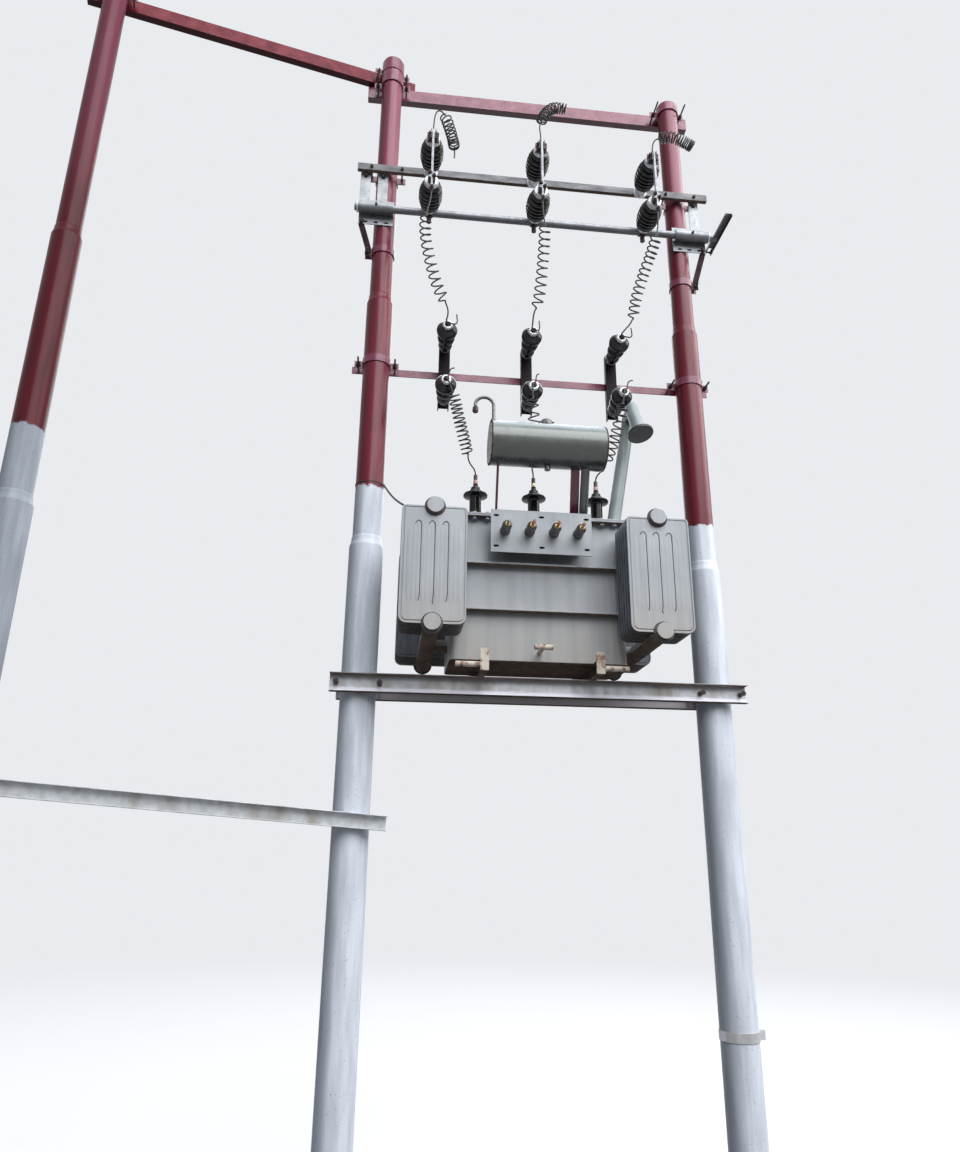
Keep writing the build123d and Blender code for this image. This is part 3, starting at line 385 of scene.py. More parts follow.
EAR_MIDDLE_THIN, EAR_MIDDLE_THICK, EAR_MIDDLE_LOW = 0.100, 0.113, 0.115
TIE_TURN = Matrix.Rotation(math.atan2(0.390, 1.780), 4, "Z")
SIDES = (-1, 1)
PAIR = (middle_pole, right_pole)
ears = [side * EAR_MIDDLE_THIN for side in SIDES]
rods = [pole @ facing_viewer(x, 0.095, 6.912) for x in ears for pole in PAIR]
rods += [outer_pole @ TIE_TURN @ facing_viewer(x, 0.095, 7.030) for x in ears]
fasten("arm_clamp_rods", rods, 0.200, (0.008, 0.082, 0.094))
fasten("tie_clamp_rods", [TIE_TURN @ facing_viewer(x, 0.095, 7.030) for x in ears], 0.108, (0.008, 0.082))
rods = [pole @ facing_viewer(side * EAR_MIDDLE_THICK, 0.102, 4.645) for side in SIDES for pole in PAIR]
fasten("fuse_clamp_rods", rods, 0.175, (0.004, 0.090, 0.102))


# Switch channel: a rolled channel left in its dull mill finish, across the front of both poles.
# Its clamps are behind the poles, and their bolt heads show on the web.
def pick(piece, kind, wanted):
    """Opens a piece in edit mode with just those faces, edges or corners selected that pass the test."""
    take(piece)
    bpy.ops.object.mode_set(mode="EDIT")
    bpy.ops.mesh.select_mode(type=kind)
    bpy.ops.mesh.select_all(action="DESELECT")
    bpy.ops.object.mode_set(mode="OBJECT")
    mesh = piece.data
    for part in {"FACE": mesh.polygons, "EDGE": mesh.edges, "VERT": mesh.vertices}[kind]:
        part.select = wanted(part)
    bpy.ops.object.mode_set(mode="EDIT")


def plate(wide, high, place, upright=True):
    """A flat sheet without thickness, upright across the view or lying flat."""
    nothing_selected()
    bpy.ops.mesh.primitive_plane_add(size=1, location=place, rotation=(math.pi / 2 if upright else 0, 0, 0))
    piece = bpy.context.object
    piece.scale = (wide, high, 1)
    bpy.ops.object.transform_apply(location=True, rotation=True, scale=True)
    return piece


def folded(piece, wanted, lip, wall, ease):
    """Folds the edges of a sheet whose two ends pass the test, and gives it its wall and eased corners."""
    corners = piece.data.vertices
    pick(piece, "EDGE", lambda edge: wanted(*[corners[end].co for end in edge.vertices]))
    bpy.ops.mesh.extrude_region_move(TRANSFORM_OT_translate={"value": lip})
    close_outward()
    for kind, settings in (
        ("SOLIDIFY", {"thickness": wall, "offset": 0, "use_even_offset": True}),
        ("BEVEL", {"width": ease, "segments": 2}),
    ):
        step = piece.modifiers.new(kind.lower(), kind)
        for setting, value in settings.items():
            setattr(step, setting, value)
        bpy.ops.object.modifier_apply(modifier=step.name)


# Faces that look down are painted near black: painted shade.
mill_steel = finish("dull_mill_steel", (40, 0.35, 0.7, (0.3, 1, 1)), ("#66666A", "#4E4E53"), (0.4, 0.62),
                    (3, 0.15), (ranging, -0.2, -0.9, 0.8, "#1E1D20"), Metallic=0.2)
BAR_H, BAR_FLANGE, BAR_WALL = 0.052, 0.026, 0.005
low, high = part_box("switch_channel")
bar = plate(high.x - low.x, BAR_H - BAR_WALL, ((low.x + high.x) / 2, low.y + BAR_WALL / 2, high.z - BAR_H / 2))
folded(bar, lambda a, b: abs(a.z - b.z) < 0.001, (0, BAR_FLANGE, 0), BAR_WALL, 0.0015)
settle(bar, "switch_channel_bar", mill_steel, replaces=["switch_channel"])
dirt_and_shade_below(bar)
fasten("switch_clamp_rods", [pole @ facing_viewer(x, -0.004, 6.071) for x in ears for pole in PAIR],
       0.135, (0.112, 0.011))

# Hangers, bearing brackets and sleeves: cut plate and tube, hot dip galvanised after welding.
# The zinc has gone pale and dusty, with a faint spangle.
zinc, shader = new_finish("weathered_galvanised_steel", Metallic=0.25)
place = add_node(zinc, "TexCoord").outputs["Object"]
spangle = add_node(zinc, "TexVoronoi", {"Vector": place, "Scale": 1000 / 9}).outputs["Color"]
grey = add_node(zinc, "RGBToBW", {"Color": spangle}).outputs[0]
colour = blend_colours(zinc, grey, "#C3C7CC", "#AEB3B9")
colour = blend_colours(zinc, patches(zinc, 55, 0.3, 0.75), colour, "#8F9499")
# Faces that look down are painted dark grey: painted shade.
colour = blend_colours(zinc, ranging(zinc, 0.25, -0.75, 0.85), colour, "#3E4042")
surface(zinc, shader, colour, (grey, 0.32, 0.55), patches(zinc, 4, 0.3, 0.7), 0.12)
dress("hanger_plates", 1.2, "hanger_straps", zinc)
dress("bearing_brackets", 1.0, "bearing_plates", zinc)
slot_shadow = finish("shadow_in_slot", (5, 0.35, 0.75), ("#141416", "#242427"), (0.7, 0.9), (2, 0.1),
                     Specular_IOR_Level=0.0)


def squeezed(piece, factors):
    take(piece)
    bpy.ops.object.mode_set(mode="EDIT")
    bpy.ops.mesh.select_all(action="SELECT")
    bpy.ops.transform.resize(value=factors)
    bpy.ops.object.mode_set(mode="OBJECT")
    return piece


def punch_slots(name, places):
    """The dark of long holes punched through plate."""
    slot = squeezed(turned([(0.0068, -0.0008), (0.0068, 0.0002), (0.0063, 0.0008)], 20), (2.3, 1, 1))
    settle(copies(slot, places), name, slot_shadow)


BRACKET_X, BRACKET_FACE_Y = (-0.055, 2.055), -0.0766
punch_slots("bracket_slots", [
    facing_viewer(x + dx, BRACKET_FACE_Y, z)
    for x in BRACKET_X for dx in (-0.067, 0.0, 0.067) for z in (5.814, 5.658)
])
SLEEVE_R, SHAFT_BORE_R, SLEEVE_HALF, SLEEVE_EASE = 0.038, 0.0243, 0.1125, 0.002
SHAFT_Y, SHAFT_Z = -0.11445, 5.736
LYING = Matrix.Rotation(math.pi / 2, 4, "Y")


def on_shaft(*stations):
    """Places on the shaft's axis whose own up axis points to the right."""
    return [Matrix.Translation((x, SHAFT_Y, SHAFT_Z)) @ LYING for x in stations]


sleeve = turned([
    (SHAFT_BORE_R, -SLEEVE_HALF), (SLEEVE_R - SLEEVE_EASE, -SLEEVE_HALF), (SLEEVE_R, -SLEEVE_HALF + SLEEVE_EASE),
    (SLEEVE_R, SLEEVE_HALF - SLEEVE_EASE), (SLEEVE_R - SLEEVE_EASE, SLEEVE_HALF), (SHAFT_BORE_R, SLEEVE_HALF),
])
pick(sleeve, "FACE", lambda face: len(face.vertices) > 4)
bpy.ops.mesh.delete(type="FACE")
bpy.ops.mesh.select_mode(type="EDGE")
bpy.ops.mesh.select_all(action="DESELECT")
bpy.ops.mesh.select_non_manifold()
bpy.ops.mesh.bridge_edge_loops()
close_outward()
settle(copies(sleeve, on_shaft(*BRACKET_X)), "shaft_sleeve_tubes", zinc,
       replaces=["shaft_sleeves"])
grease = joined([nut(0.0, 0.010, 0.014), turned([(0.005, 0.014), (0.006, 0.020), (0.004, 0.026)], 12)])
places = [facing_viewer(x, SHAFT_Y - SLEEVE_R + 0.004, SHAFT_Z) for x in BRACKET_X]
settle(copies(grease, places), "grease_nipples", zinc)

# Struts: flat bar from each bracket down to a clamp on its pole, in the poles' maroon.
# The clamps are strip bent round the pole, with two ears drawn up by a rod.
# The struts take a near-black maroon.
dark_maroon = finish("near_black_maroon_enamel", (50, 0.35, 0.75), ("#2A121C", "#1C0F14"), (0.45, 0.7), (4, 0.15),
                     Specular_IOR_Level=0.15)
dress("switch_struts", 1.0, "bracket_struts", dark_maroon)
STRUT_CLAMP_H, EAR_REACH, EAR_HALF_GAP, EAR_T = 0.050, 0.116, 0.020, 0.006
clamps, rods = [], []
for pole, side, foot_z in ((middle_pole, -1, 5.441), (right_pole, 1, 5.381)):
    band = turned([
        (BAND_BORE_R, 0.0), (THIN_R + 0.006, 0.0), (BAND_R, 0.0015), (BAND_R, STRUT_CLAMP_H - 0.0015),
        (THIN_R + 0.006, STRUT_CLAMP_H), (BAND_BORE_R, STRUT_CLAMP_H),
    ], POLE_SIDES)
    clamps.append(copies(band, [pole @ Matrix.Translation((0, 0, foot_z))]))
    middle_z = foot_z + STRUT_CLAMP_H / 2
    for y in (-EAR_HALF_GAP, EAR_HALF_GAP):
        nothing_selected()
        bpy.ops.mesh.primitive_cube_add(size=1, location=(side * (THIN_R + EAR_REACH) / 2, y, middle_z))
        ear = bpy.context.object
        ear.scale = (EAR_REACH - THIN_R, EAR_T, STRUT_CLAMP_H)
        ear.matrix_world = pole @ ear.matrix_basis
        bpy.ops.object.transform_apply(location=True, rotation=True, scale=True)
        bpy.ops.object.mode_set(mode="EDIT")
        bpy.ops.mesh.select_all(action="SELECT")
        bpy.ops.mesh.bevel(offset=0.0015, segments=2)
        bpy.ops.object.mode_set(mode="OBJECT")
        clamps.append(ear)
    rods.append(pole @ facing_viewer(side * EAR_MIDDLE_THIN, 0.045, middle_z))
settle(joined(clamps), "strut_clamp_bands", maroon, replaces=["strut_clamps"])
fasten("strut_clamp_rods", rods, 0.110, (0.012, 0.068))
heads = [(-0.137, 6.030), (-0.023, 6.030), (2.106, 6.030)]
heads += [(x, z) for x in (-0.147, 2.147) for z in (5.665, 5.655)]
fasten("bracket_bolts", [facing_viewer(x, -0.077, z) for x, z in heads], 0.022, (0.004,))

# Post insulators: turned porcelain, dipped in a near black glaze and fired, cemented into iron caps.
# Three stand on the channel and hold the jaws, and three ride on the shaft and carry the blades.
# Faces that look up are painted pale grey: painted reflection of the sky.
glaze = finish("black_brown_glaze", (25, 0.35, 0.7), ("#101116", "#1B1719"), (0.1, 0.25), (14, 0.2),
               (patches, 60, 0.58, 0.85, "#3A393B"), (ranging, 0.3, 0.8, 0.75, "#8D929B"),
               Coat_Weight=0.1, Coat_Roughness=0.05, Specular_IOR_Level=0.22)
cap_iron = finish("zinc_plated_cap_iron", (18, 0.35, 0.7), ("#DCDEE2", "#B4B6BB"), (0.35, 0.55), (3, 0.2),
                  Metallic=0.3)


def porcelain(length, cap, core, widths, droop):
    """Porcelain between two caps: rounded sheds, foot first, their undersides hollowed to the foot."""
    pitch = (length - 2 * cap) / len(widths)
    outline = [(core * 0.92, cap - 0.006)]
    for index, shed in enumerate(widths):
        for share, back, up in (
            (0, 0, 0.02), (0, 0, 0.14), (0.45, 0, 0.16), (0.86, 0, 0.34 - droop * 0.5),
            (1, 0.0015, 0.34 - droop * 0.5), (1, 0, 0.42), (1, 0.0015, 0.56), (0.6, 0, 0.74), (0.2, 0, 0.86),
            (0, 0, 0.97),
        ):
            outline.append((core + share * (shed - core) - back, cap + (index + up) * pitch))
    return turned(outline + [(core * 0.92, length - cap + 0.006)], 40)


def iron_cap(radius, depth, at, turned_over=False):
    """Cap with a rolled lip and a raised boss, open side towards the porcelain."""
    outline = [
        (radius * 0.98, 0.0), (radius * 1.04, 0.003), (radius * 1.04, 0.009), (radius, 0.012),
        (radius, depth - 0.006), (radius * 0.94, depth - 0.001), (radius * 0.62, depth),
    ]
    if turned_over:
        outline = [(r, depth - z) for r, z in reversed(outline)]
    return turned([(r, at + z) for r, z in outline], 36)


def stand_posts(name, places, length, cap, core, cap_r, widths, droop=0.35, body="structure"):
    """Porcelain posts with their caps at each of the places."""
    barrels = copies(porcelain(length, cap, core, widths, droop), places)
    settle(barrels, name + "_porcelain_posts", glaze, body, [name + "_insulators"])
    ends = joined([iron_cap(cap_r, cap, 0.0, True), iron_cap(cap_r, cap, length - cap)])
    settle(copies(ends, places), name + "_post_caps", cap_iron, body)


POST = (0.250, 0.030, 0.046, 0.044, (0.062, 0.070, 0.0745, 0.0745, 0.074, 0.070, 0.060))
PHASES = (0.288, 0.980, 1.716)
FIXED_FOOT_Y, FIXED_Z, MOVING_FOOT_Y = -0.15615, 6.0595, -0.1486
stand_posts("fixed", [facing_viewer(x, FIXED_FOOT_Y, FIXED_Z) for x in PHASES], *POST)
stand_posts("moving", [facing_viewer(x, MOVING_FOOT_Y, SHAFT_Z) for x in PHASES], *POST, body="switch_shaft")
pedestal = turned([
    (0.045, 0.0), (0.045, 0.008), (0.043, 0.010), (0.036, 0.014), (0.036, 0.034), (0.038, 0.040),
], 36)
pedestals = copies(pedestal, [facing_viewer(x, -0.11615, FIXED_Z) for x in PHASES])
settle(pedestals, "post_pedestals", cap_iron, replaces=["fixed_pedestals"])

# Jaws and blades: hard drawn copper, tinned. A jaw is two spring plates riveted to a foot, with
# long clamping bolts, and a blade is a flat bar bolted on its post's head.
tinned = finish("tinned_copper", (20, 0.35, 0.7), ("#A9ADB4", "#85858A"), (0.45, 0.6), (2.5, 0.1), Metallic=0.25)
dark_copper = finish("dark_copper_tone", (9, 0.4, 0.75), ("#2C292D", "#5A4A48"), (0.35, 0.6), (2, 0.15), Metallic=0.4)
dress("fixed_contacts", 1.5, "jaw_contacts", dark_copper)
FOOT_LOW_Z, FOOT_TOP_Z = 5.62, 5.762
# The blade faces between FOOT_LOW_Z and FOOT_TOP_Z take the dark copper too.
blades = dress("switch_blades", 2.0, "blade_contacts", [tinned, dark_copper], "switch_shaft")
for face in blades.data.polygons:
    face.material_index = int(FOOT_LOW_Z < face.center.z < FOOT_TOP_Z)
bolts = [Matrix.Translation((x - 0.032, -0.4285, z)) @ LYING for x in PHASES for z in (6.041, 6.078)]
fasten("jaw_bolts", bolts, 0.064, (0.008, 0.047))
bolts = [
    facing_viewer(x + side * 0.013, -0.443, SHAFT_Z - side * 0.012) for x in PHASES for side in SIDES
]
bolts += [facing_viewer(x, -0.440, 5.640) for x in PHASES]
fasten("blade_bolts", bolts, 0.024, (0.005,), "switch_shaft")

# Shaft: galvanised pipe that turns all three moving posts together, with a strap saddle under
# each post, U bolts round it, and a forked crank channel on its right end for the operating rod.
dress("operating_shaft", 1.0, "shaft_pipe", zinc, "switch_shaft")
strap = turned([
    (0.0246, -0.026), (0.0275, -0.026), (0.0282, -0.025), (0.0282, 0.025), (0.0275, 0.026), (0.0246, 0.026),
], 40)
settle(copies(strap, on_shaft(*PHASES)), "saddle_straps", zinc, "switch_shaft",
       ["shaft_saddles"])
stub = turned([
    (0.0155, 0.0), (0.0155, 0.036), (0.0135, 0.038), (0.0135, 0.044), (0.0155, 0.045), (0.0155, 0.056),
    (0.0125, 0.058),
], 16)
places = [Matrix.Translation((x, SHAFT_Y, SHAFT_Z - 0.020)) @ Matrix.Rotation(math.pi, 4, "X") for x in PHASES]
settle(copies(stub, places), "saddle_stub_bolts", bolt_steel, "switch_shaft")
neck = turned([(0.034, 0.0), (0.034, 0.008), (0.028, 0.011), (0.028, 0.016)], 36)
necks = copies(neck, [facing_viewer(x, SHAFT_Y - 0.0235, SHAFT_Z) for x in PHASES])
settle(necks, "moving_post_necks", cap_iron, "switch_shaft")
CRANK_X, CRANK_HALF, CRANK_WALL, CRANK_TOP, CRANK_LIP = 2.228, 0.021, 0.005, 5.738, 0.018
FORK_HALF, FORK_L = 0.010, 0.055
low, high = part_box("operating_crank")
crank = plate(2 * CRANK_HALF, high.y - low.y, (CRANK_X, (low.y + high.y) / 2, CRANK_TOP), upright=False)
bpy.ops.object.mode_set(mode="EDIT")
for cut, way in (
    ((CRANK_X - FORK_HALF, 0, 0), (1, 0, 0)), ((CRANK_X + FORK_HALF, 0, 0), (1, 0, 0)),
    ((0, high.y - FORK_L, 0), (0, 1, 0)),
):
    bpy.ops.mesh.select_all(action="SELECT")
    bpy.ops.mesh.bisect(plane_co=cut, plane_no=way)
pick(crank, "FACE", lambda face: abs(face.center.x - CRANK_X) < FORK_HALF and face.center.y > high.y - FORK_L)
bpy.ops.mesh.delete(type="FACE")
folded(crank, lambda a, b: abs(a.x - b.x) < 0.0005 and abs(abs(a.x - CRANK_X) - CRANK_HALF) < 0.0005,
       (0, 0, -CRANK_LIP), CRANK_WALL, 0.001)
settle(crank, "crank_channel", mill_steel, "switch_shaft", ["operating_crank"])
pin = Matrix.Translation((CRANK_X - CRANK_HALF - 0.008, high.y - 0.022, SHAFT_Z - 0.006)) @ LYING
fasten("crank_pin", [pin], 0.058, (0.003, 0.046), "switch_shaft")
stub = turned([(0.018, 0.0), (0.0195, 0.002), (0.0195, 0.040), (0.016, 0.042)], 32)
settle(copies(stub, on_shaft(2.1945)), "shaft_end_stub", zinc, "switch_shaft")
collar = turned([(0.025, 0.0), (0.034, 0.001), (0.036, 0.003), (0.036, 0.009), (0.034, 0.011), (0.025, 0.012)], 40)
settle(copies(collar, on_shaft(-0.182, 2.1685)), "shaft_collars", cap_iron, "switch_shaft")


def wire(name, points, radius=0.0, sides=2, steps=12):
    """A round wire on a smooth line through a row of points in metres."""
    curve = bpy.data.curves.new(name, "CURVE")
    curve.dimensions = "3D"
    curve.resolution_u = steps
    curve.bevel_depth = radius
    curve.bevel_resolution = sides
    curve.use_fill_caps = True
    spline = curve.splines.new("NURBS")
    spline.points.add(len(points) - 1)
    for point, place in zip(spline.points, points):
        point.co = (*place, 1)
    spline.order_u = 3
    spline.use_endpoint_u = True
    piece = bpy.data.objects.new(name, curve)
    bpy.context.scene.collection.objects.link(piece)
    return piece


def meshed(wires, *others):
    """Wires made mesh, and joined with the other pieces into one."""
    nothing_selected()
    for piece in wires:
        piece.select_set(True)
    bpy.context.view_layer.objects.active = wires[0]
    bpy.ops.object.convert(target="MESH")
    return joined([*wires, *others])


ROUND_R = 0.029
bend = [(-ROUND_R - 0.004, -0.034)]
bend += [(-ROUND_R * math.cos(a), ROUND_R * math.sin(a)) for a in [math.pi * step / 8 for step in range(-1, 10)]]
bend += [(ROUND_R + 0.004, -0.034)]
u_bolts = [
    wire("u_bolt", [(x + dx, SHAFT_Y + back, SHAFT_Z + up) for up, back in bend], 0.004)
    for x in PHASES for dx in (-0.017, 0.017)
]
settle(meshed(u_bolts), "saddle_u_bolts", bolt_steel, "switch_shaft")

# Fuse arm: an angle bar behind the poles, drawn against them by half clamps, with three channel
# bases on its front. The fuse links are out, so two porcelain posts face each other on each base.
dress("fuse_arm", 1.5, "fuse_arm_angle", maroon)
black_paint = finish("chipped_black_paint", (22, 0.62, 0.72), ("#1A1418", "#3C232C"), (0.5, 0.8), (2.5, 0.12),
                     Specular_IOR_Level=0.12)
dress("fuse_bases", 1.5, "fuse_base_channels", black_paint)
FUSE_PHASES, FUSE_POST_Z = (0.423, 0.950, 1.505), (4.437, 4.817)
FUSE_FOOT_Y, FUSE_L = 0.04485, 0.275
FUSE_FACE_Y = FUSE_FOOT_Y - FUSE_L


def fuse_places(y):
    return [facing_viewer(x, y, z) for x in FUSE_PHASES for z in FUSE_POST_Z]


stand_posts("fuse", fuse_places(FUSE_FOOT_Y), FUSE_L, 0.026, 0.034, 0.029, (0.046, 0.055, 0.065), 0.2)
head = joined([
    turned([(0.0185, -0.001), (0.0185, 0.0015), (0.017, 0.002)], 24), nut(0.002, 0.0135, 0.009),
    threaded_rod(0.020),
])
settle(copies(head, fuse_places(FUSE_FACE_Y)), "fuse_cap_bolts", bolt_steel)

# Horns: stiff wire bent by hand from the bolt of each cap, where the arc of a switched fuse climbs off.
# They are thin, uneven and dark, and all curl upwards.
dark_wire = finish("weathered_tinned_wire", (12, 0.35, 0.65), ("#242327", "#423F3E"), (0.38, 0.62), (2, 0.15),
                   Metallic=0.3)
HORN_R = 0.004
UPPER_CURL = ((-10, 10, 4), (4, 10, 2), (20, 10, -3), (40, 12, -7), (52, 14, -4), (56, 16, 14), (53, 18, 34),
              (51, 18, 58))
LOWER_CURL = ((-8, 10, 0), (6, 10, 2), (13, 10, 12), (14, 11, 34), (20, 12, 56), (32, 13, 66), (46, 14, 66))
horns = [
    wire("horn", [(x + spread * out / 1000, FUSE_FACE_Y - front / 1000, z + up / 1000) for out, front, up in curl],
         HORN_R, steps=6)
    for x, spread in zip(FUSE_PHASES, (1.0, 0.62, 1.08)) for z, curl in zip(FUSE_POST_Z, (LOWER_CURL, UPPER_CURL))
]
settle(meshed(horns), "fuse_horn_wires", dark_wire, replaces=["fuse_horns"])


# Base channels: two rolled channels clamped across the poles, painted with them.
# Rain leaves brown stains on them below the tank. The web's lowest edge is painted pale, its top darker as painted
# shadow of the top flange, and the rear channel a darker brownish grey.
def aluminium_paint(name, *bands):
    return finish(name, (35, 0.35, 0.8), ("#C6C9CC", "#A9ABAD"), (0.4, 0.62), (4, 0.15),
                  (patches, 120, 0.5, 0.75, (1, 1, 0.25), "#8F877E"), *bands, Metallic=0.25)


# Pale band along the web's foot; darker band along its top, painted shadow of the top flange; rear channel darker
# brownish grey.
base_paint = aluminium_paint(
    "stained_and_shaded_aluminium_paint", (ranging, 2.606, 2.594, 0.8, "Object", "#E9E8F0"),
    (ranging, 2.636, 2.662, 0.8, "Object", "#6A676D"), (ranging, 0.0, 0.01, 0.7, "Object", "Y", "#7D7476"),
)
dirt_and_shade_below(dress("base_channels", 3.0, "base_channel_bars", base_paint))
rods = [pole @ facing_back(side * EAR_MIDDLE_LOW, -0.168, 2.622) for pole in PAIR for side in SIDES]
fasten("base_clamp_rods", rods, 0.340, (0.012, 0.060, 0.272, 0.320))

# Skids: pressed channel runners under the tank, with towing lugs bolted at their ends.
# The lugs and their pins are in old ivory paint, which rust has lifted at every edge.
ivory, shader = new_finish("rust_stained_ivory_paint")
rust = patches(ivory, 30, 0.5, 0.68)
colour = blend_colours(ivory, patches(ivory, 60, 0.45, 0.8, (1, 1, 0.3)), "#CFC6B8", "#A9937F")
surface(ivory, shader, blend_colours(ivory, rust, colour, "#7A4A36"), (rust, 0.5, 0.85),
        patches(ivory, 3, 0.3, 0.7), 0.25)
dirt_and_shade_below(dress("skids", 2.0, "skid_runners", base_paint), 0.5)
dress("skid_lugs", 2.0, "towing_lugs", ivory)
dress("drain_valve", 3.0, "drain_cock", ivory)

# Tank: welded steel plate with two flat stiffener bands round it and a bolted cover on a rim.
# Light grey enamel, chalked by the sun, with rain streaks below the bands and warm dust low down.
tank_enamel = finish("chalked_grey_enamel", (150, 0.3, 0.75), ("#A9AEB3", "#9CA1A7"), (0.36, 0.55), (9, 0.15),
                     (ranging, 3.15, 2.75, 1.0, "Object", "#AAA6A0"),
                     (patches, 45, 0.45, 0.8, (1, 1, 0.06), "#93969A"), Coat_Weight=0.2, Coat_Roughness=0.35)
for node, ease, name in (
    ("tank", 4.0, "tank_shell"), ("tank_stiffeners", 2.0, "stiffener_bands"), ("tank_cover", 2.0, "bolted_cover"),
):
    dirt_and_shade_below(dress(node, ease, name, tank_enamel))
TANK_X, RIM_REACH_X, RIM_REACH_Y, BOLT_Z = 0.965, 0.5105, 0.233, 3.541
places = [(TANK_X + RIM_REACH_X * (index / 7 - 1), way * RIM_REACH_Y) for index in range(15) for way in SIDES]
places += [(TANK_X + way * RIM_REACH_X, RIM_REACH_Y * (index / 3.5 - 1)) for index in range(1, 7) for way in SIDES]
bolts = copies(threaded_rod(0.052, (0.008, 0.041)), [Matrix.Translation((x, y, BOLT_Z)) for x, y in places])
settle(bolts, "cover_bolts", tank_enamel)

# Low voltage pocket: a folded box on the tank's front wall, closed by a thick plate with slots.
# Four short bushings in dark resin stand out of it with copper studs and brass nuts.
dirt_and_shade_below(dress("lv_pocket", 1.2, "pocket_plate_and_box", tank_enamel))
resin = finish("dark_moulded_resin", (8, 0.4, 0.75), ("#1A1718", "#2C2523"), (0.25, 0.45), (2, 0.1),
               Coat_Weight=0.2)
copper, brass = [
    finish(name, (7, 0.4, 0.75), tones, (0.28, 0.5), (2, 0.1), Metallic=0.7)
    for name, tones in (("dulled_copper", ("#9C6A4E", "#5F4032")), ("dulled_brass", ("#C4A772", "#80683F")))
]
LV_X, LV_FACE_Y, LV_Z = (0.761, 0.897, 1.033, 1.169), -0.320, 3.451
BUSH_R, BUSH_L, STUD_R, STUD_L = 0.029, 0.094, 0.0085, 0.074
outline = [(BUSH_R, 0.0), (BUSH_R, 0.007)]
for rib in range(9):
    at = 0.009 + rib * 0.009
    outline += [(BUSH_R * share, at + up) for share, up in ((0.78, 0), (0.93, 0.002), (0.93, 0.005), (0.78, 0.007))]
outline += [(BUSH_R * 0.6, BUSH_L - 0.001), (BUSH_R * 0.5, BUSH_L)]
bushes = copies(turned(outline, 32), [facing_viewer(x, LV_FACE_Y, LV_Z) for x in LV_X])
settle(bushes, "lv_resin_bushes", resin, replaces=["lv_bushings"])
studs = [facing_viewer(x, LV_FACE_Y - BUSH_L + 0.003, LV_Z) for x in LV_X]
stud = joined([threaded_rod(STUD_L, (), STUD_R), turned([(STUD_R, STUD_L), (STUD_R * 0.6, STUD_L + 0.003)], 16)])
settle(copies(stud, studs[1:]), "lv_copper_studs", copper)
settle(copies(threaded_rod(STUD_L, (), STUD_R), studs[:1]), "lv_neutral_stud", tinned)
punch_slots("pocket_plate_slots", [
    facing_viewer(x, LV_FACE_Y - 0.0006, z) for x in (0.712, 0.965, 1.218) for z in (3.541, 3.361)
])
nuts = joined([nut(0.001, 0.0145, 0.009), turned([(0.018, -0.002), (0.018, 0.0)], 24), nut(0.0115, 0.0145, 0.007)])
settle(copies(nuts, studs), "lv_brass_nuts", brass)

# High voltage bushings: tall glazed porcelain on the cover, each clamped by a ring, with one broad
# shed near its head. A crimped lug and a dark shrunk sleeve end the stem, where the wire enters.
places = [Matrix.Translation((x, -0.050, 3.581)) for x in (0.622, 0.970, 1.350)]
body = turned([
    (0.0355, 0.016), (0.036, 0.030), (0.036, 0.168), (0.040, 0.176), (0.062, 0.180), (0.0715, 0.184),
    (0.073, 0.189), (0.0715, 0.194), (0.060, 0.200), (0.042, 0.208), (0.036, 0.214), (0.036, 0.219),
    (0.031, 0.222), (0.029, 0.230), (0.028, 0.238), (0.022, 0.242), (0.014, 0.244),
], 48)
settle(copies(body, places), "hv_porcelain", glaze, replaces=["hv_bushings"])
ring = turned([(0.039, 0.0), (0.039, 0.006), (0.0375, 0.009), (0.0375, 0.018), (0.036, 0.021)], 36)
settle(copies(ring, places), "hv_clamp_rings", cap_iron)
nuts = joined([nut(0.242, 0.017, 0.014), nut(0.258, 0.015, 0.008)])
settle(copies(nuts, places), "hv_stem_nuts", bolt_steel)
for name, tones, chosen in (
    ("pinkish_crimped_lug", ("#C29A96", "#94706C"), places[::2]),
    ("yellowed_crimped_lug", ("#D9D4AE", "#A39B72"), places[1:2]),
):
    lug_metal = finish(name, (7, 0.4, 0.75), tones, (0.4, 0.6), (2, 0.1), Metallic=0.3)
    lug = turned([(0.010, 0.262), (0.0135, 0.266), (0.0135, 0.280), (0.010, 0.292), (0.0085, 0.302)], 24)
    settle(copies(lug, chosen), "hv_" + name, lug_metal)
sleeve_plastic = finish("shrunk_maroon_sleeve", (6, 0.4, 0.75), ("#3A1C22", "#241519"), (0.3, 0.5), (2, 0.1),
                        Coat_Weight=0.2)
sleeves = turned([(0.010, 0.288), (0.012, 0.290), (0.012, 0.322), (0.009, 0.325)], 24)
settle(copies(sleeves, places), "hv_shrunk_sleeves", sleeve_plastic)

# Radiators: pressed steel panels welded round two headers, four banks in all.
# Each panel has a rolled rim and long upright flutes that carry the oil.
PANEL_W, PANEL_LOW_Z, PANEL_TOP_Z, PANEL_T, PANEL_PITCH, PANEL_COUNT = 0.344, 2.858, 3.500, 0.012, 0.044, 6
LOW_CORNER, TOP_CORNER, RIM_W, RIM_STEP = 0.042, 0.022, 0.008, 0.003
RAD_X, PANEL_FACE_Y, INNER_Y = (0.365, 1.565), 0.4995, 0.486
